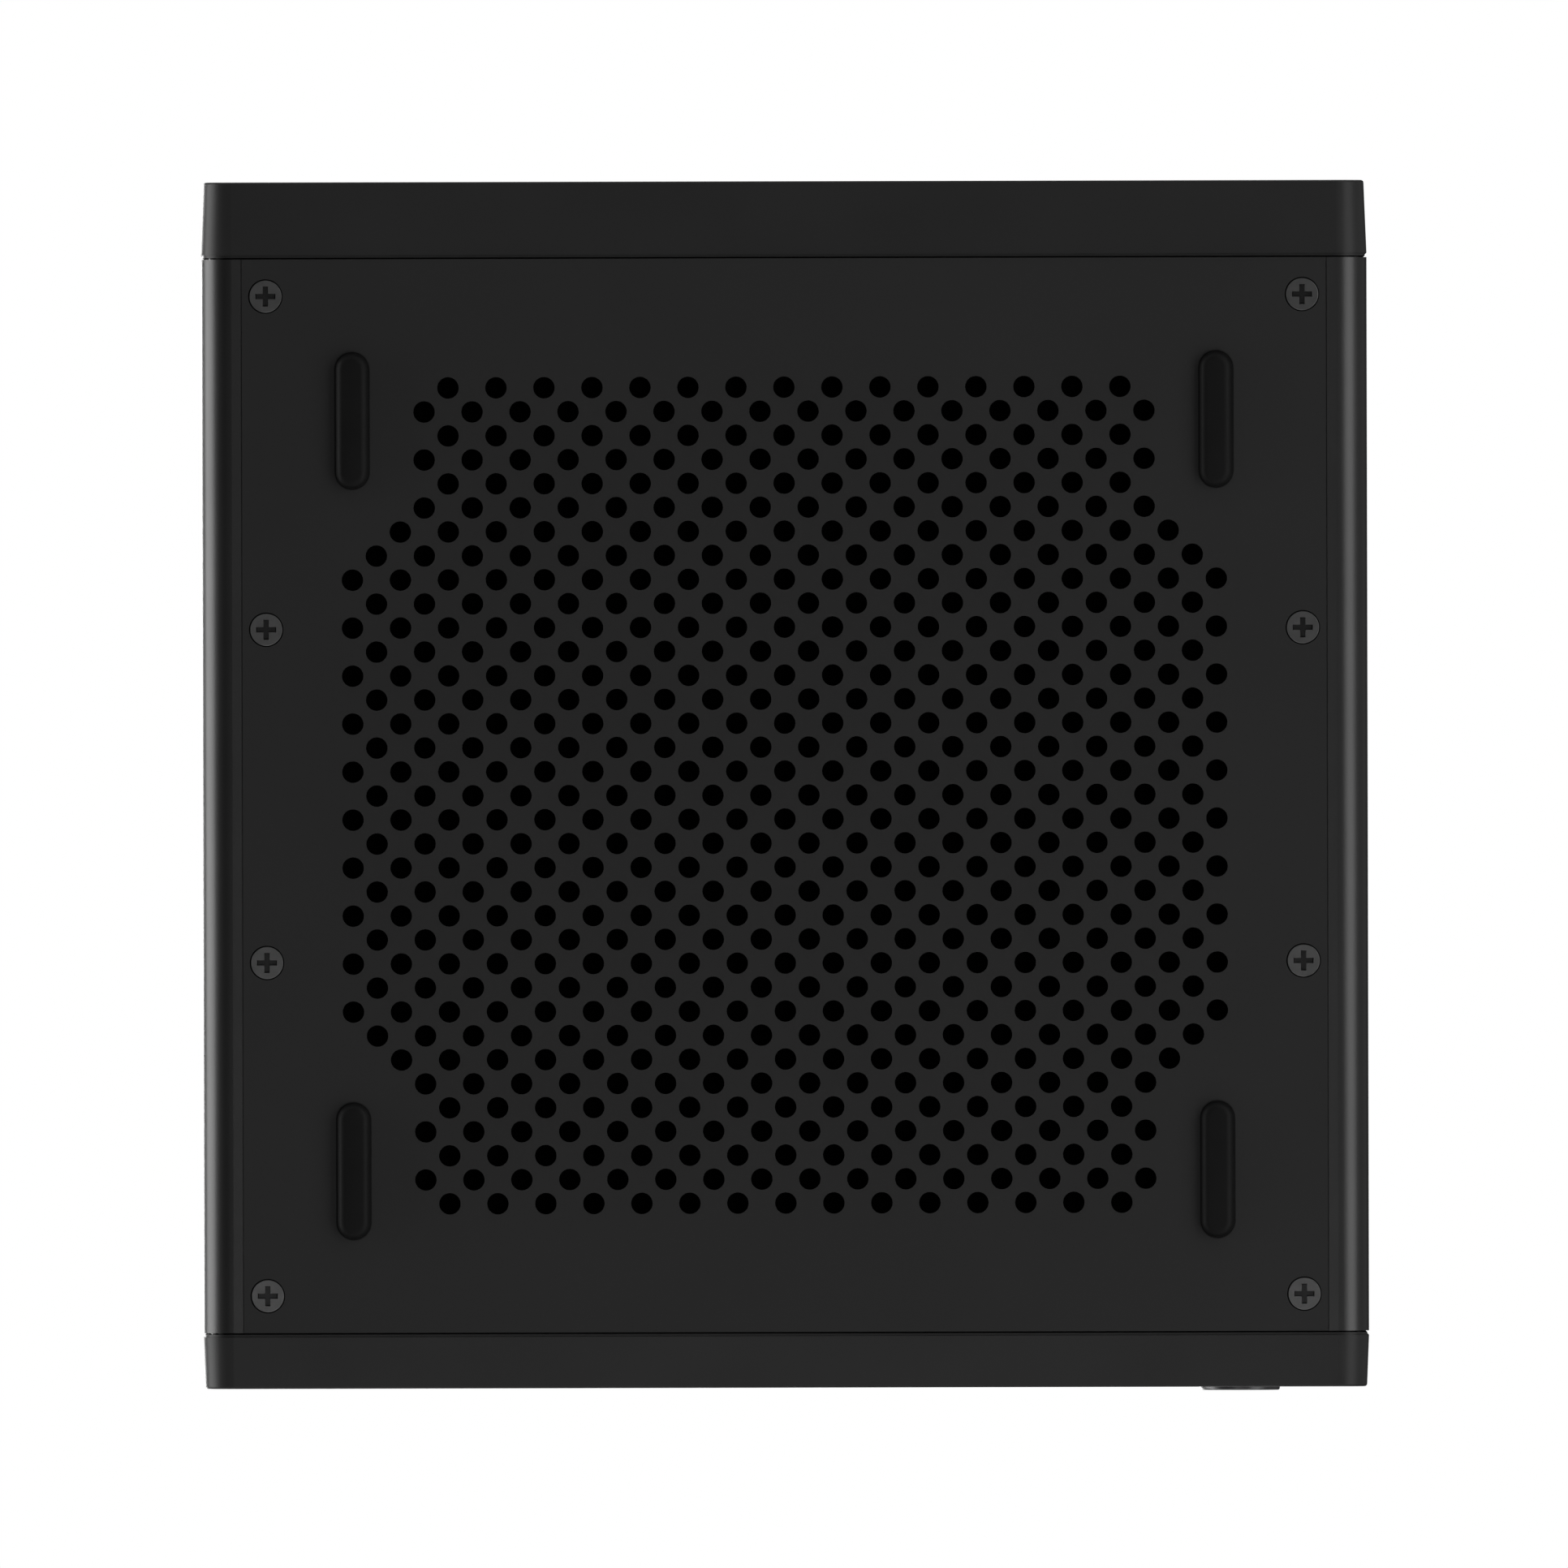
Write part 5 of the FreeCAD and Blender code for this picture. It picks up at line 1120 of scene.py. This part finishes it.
def tongue(top: float, start: float, end: float, crown: float) -> Path:
    """Shapes a spring that is sunk in a tongue's top and bulges near its end.

    Args:
        top: the level of the tongue's top.
        start: how far behind the socket's face the spring begins.
        end: how far behind it the spring ends.
        crown: how far it bulges above the top.

    Returns:
        The spring's path.
    """
    sunk, flush, bulge = top - 0.1, top - 0.05, end - 2.4
    return ((start, sunk), (start + 0.4, flush), (bulge - 1, flush), (bulge, top + crown),
            (bulge + 1, flush), (end, flush))


def build_contacts(wardrobe: Wardrobe) -> None:
    """Puts the springs on every socket's tongue, and in the ethernet socket's roof.

    Args:
        wardrobe: what hands out the finishes.
    """
    roof = ((2.0, 21.12), (2.8, 21.0), (8.8, 18.8), (10.2, 18.5), (12.9, 18.9))
    # After the names: the count, the pitch, a spring's width, the row's middle and the path.
    for row in (
            ContactRow(wardrobe, "front_usb_contacts", "front_usb_ports", 4, 2.3, 1.1, -8.6,
                       tongue(22.07, 1.9, 12.4, 0.2), 2, (19.1, 0.0)),
            ContactRow(wardrobe, "rear_usb_contacts", "rear_usb_stack", 4, 2.3, 1.1, 46.25,
                       tongue(21.02, 1.9, 12.4, 0.2), 2, (0.0, -7.8)),
            ContactRow(wardrobe, "hdmi_contacts", "hdmi_port", 10, 1.0, 0.45, 63.5,
                       tongue(21.6, 1.9, 10.4, 0.15)),
            ContactRow(wardrobe, "front_usb_c_contacts", "front_usb_c_port", 12, 0.5, 0.26, -28.6,
                       tongue(21.35, 1.8, 5.9, 0.0), thickness=0.1),
            ContactRow(wardrobe, "rear_usb_c_contacts", "rear_usb_c_port", 12, 0.5, 0.26, 13.5,
                       tongue(22.75, 1.8, 5.9, 0.0), thickness=0.1),
            ContactRow(wardrobe, "ethernet_contacts", "ethernet_port", 8, 1.02, 0.42, 28.5, roof,
                       thickness=0.3)):
        row.build()


# ------------------------------ studio
@dataclass(frozen=True)
class SoftBox:
    """A rectangular soft light that faces the computer, placed and sized in metres."""

    name: str
    position: tuple[float, float, float]
    length: float
    height: float
    radiance: float
    along: tuple[float, float, float] = ALONG_Y

    def build(self) -> None:
        """Hangs the light; its power follows from its radiance and its area."""
        lamp = bpy.data.lights.new(self.name, "AREA")
        lamp.shape = "RECTANGLE"
        lamp.size, lamp.size_y = self.length, self.height
        lamp.energy = LAMP_POWER * self.radiance * self.length * self.height
        holder = show(self.name, lamp)
        holder.location = self.position
        holder.rotation_mode = "QUATERNION"
        away = Vector(self.position).normalized()
        across = away.cross(Vector(self.along)).normalized()
        turned = Matrix((across.cross(away), across, away)).transposed()
        holder.rotation_quaternion = turned.to_quaternion()
        holder.visible_camera = False


@dataclass(frozen=True)
class Studio:
    """The floor, the lights, the background and the camera.

    Its sizes are in metres, and the roll is in degrees. The camera looks up at the aim.
    """

    wardrobe: Wardrobe
    floor_size: float = 9.0
    distance: float = 12.0
    frame_width: float = 0.25411
    sensor: float = 36.0
    aim: tuple[float, float, float] = (0.00014, 0.0004, 0.002)
    roll: float = 0.14
    ambient: float = 0.05

    def build(self) -> None:
        """Sets the studio up."""
        self.build_floor()
        self.build_world()
        self.build_camera()
        for light in (
                SoftBox("side_light", (1.2, 0.0, 0.13), 1.7, 0.92, 5.8),
                SoftBox("low_strip", (-0.9, 0.0, -0.66), 2.2, 0.70, 2.9),
                SoftBox("far_side", (-1.2, 0.0, 0.35), 1.6, 1.2, 0.27),
                SoftBox("under_strip", (0.0, 0.0, -1.3), 1.2, 0.24, 0.55),
                SoftBox("under_front", (0.0, -0.38, -0.8), 0.4, 0.3, 2.4),
                SoftBox("top_light", (0.45, -0.1, 1.5), 0.9, 0.9, 7.5),
                SoftBox("front_light", (0.2, -1.5, 1.0), 1.4, 0.7, 2.6, ALONG_X),
                SoftBox("front_bounce", (0.0, -1.2, -0.42), 1.8, 0.5, 1.5, ALONG_X),
                SoftBox("rear_bounce", (0.0, 1.2, -0.42), 1.8, 0.5, 1.5, ALONG_X),
                SoftBox("rear_light", (-0.2, 1.5, 1.0), 1.4, 0.7, 2.6, ALONG_X)):
            light.build()
        bpy.context.scene.view_settings.view_transform = "Standard"
        log.info("studio lit")

    def build_floor(self) -> None:
        """Lays the pale floor, which neither shades nor hides the base from below."""
        half = self.floor_size / 2
        corners = [(-half, -half, 0), (half, -half, 0), (half, half, 0), (-half, half, 0)]
        mesh = bpy.data.meshes.new("studio_floor")
        mesh.from_pydata(corners, [], [(0, 1, 2, 3)])
        mesh.materials.append(self.wardrobe.material(FLOOR))
        floor = show("studio_floor", mesh)
        for ray in ("diffuse", "glossy", "transmission", "shadow"):
            setattr(floor, f"visible_{ray}", False)

    def build_world(self) -> None:
        """Sets a white background and a weaker even light."""
        world = bpy.data.worlds.new("studio")
        bpy.context.scene.world = world
        world.use_nodes = True
        tree = world.node_tree
        tree.nodes.clear()
        seen = add(tree, "ShaderNodeLightPath").outputs["Is Camera Ray"]
        glow = add(tree, "ShaderNodeMapRange", {"Value": seen, "To Min": self.ambient,
                                                "To Max": 1.0})
        sky = add(tree, "ShaderNodeBackground", {"Strength": glow, "Color": WHITE})
        add(tree, "ShaderNodeOutputWorld", {"Surface": sky})

    def build_camera(self) -> None:
        """Points a long lens straight up at the base, with the rear at the picture's top."""
        lens = bpy.data.cameras.new("base_view")
        lens.sensor_width = self.sensor
        lens.lens = self.sensor * self.distance / self.frame_width
        lens.clip_start, lens.clip_end = 0.05, 50.0
        camera = show("base_view", lens)
        camera.rotation_mode = "QUATERNION"
        up = Matrix(((-1, 0, 0), (0, 1, 0), (0, 0, -1))).to_quaternion()
        camera.rotation_quaternion = Quaternion((0, 0, 1), math.radians(self.roll)) @ up
        camera.location = Vector(self.aim) - Vector((0, 0, self.distance))
        bpy.context.scene.camera = camera


# ------------------------------ the whole computer
def dress_cards(wardrobe: Wardrobe) -> None:
    """Dresses each plug-in card in a mask whose levels follow its own box.

    Args:
        wardrobe: what hands out the finishes.
    """
    for node, thickness in CARDS.items():
        high = span(node)[1]
        finish = CircuitBoard(f"{node}_mask", "#0c2a36", "#0c2a36", 0.36, grain_size=0.4,
                              relief=0.003, under=high.z - thickness, top=high.z,
                              track="#15485a", cell=4.0)
        wardrobe.dress(node, finish)


def main() -> None:
    """Builds the computer's looks piece by piece."""
    logging.basicConfig(level=logging.INFO, format="%(name)s: %(message)s")
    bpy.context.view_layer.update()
    wardrobe = Wardrobe()
    for finish, nodes in DRESS.items():
        for node in nodes:
            wardrobe.dress(node, finish)
    dress_cards(wardrobe)
    BottomPanel(wardrobe).build()
    PanelScrews(wardrobe).build()
    for end in ("front", "rear"):
        for side in ("left", "right"):
            Foot(wardrobe, f"foot_{end}_{side}").build()
    build_contacts(wardrobe)
    Studio(wardrobe).build()


if __name__ == "__main__":
    main()
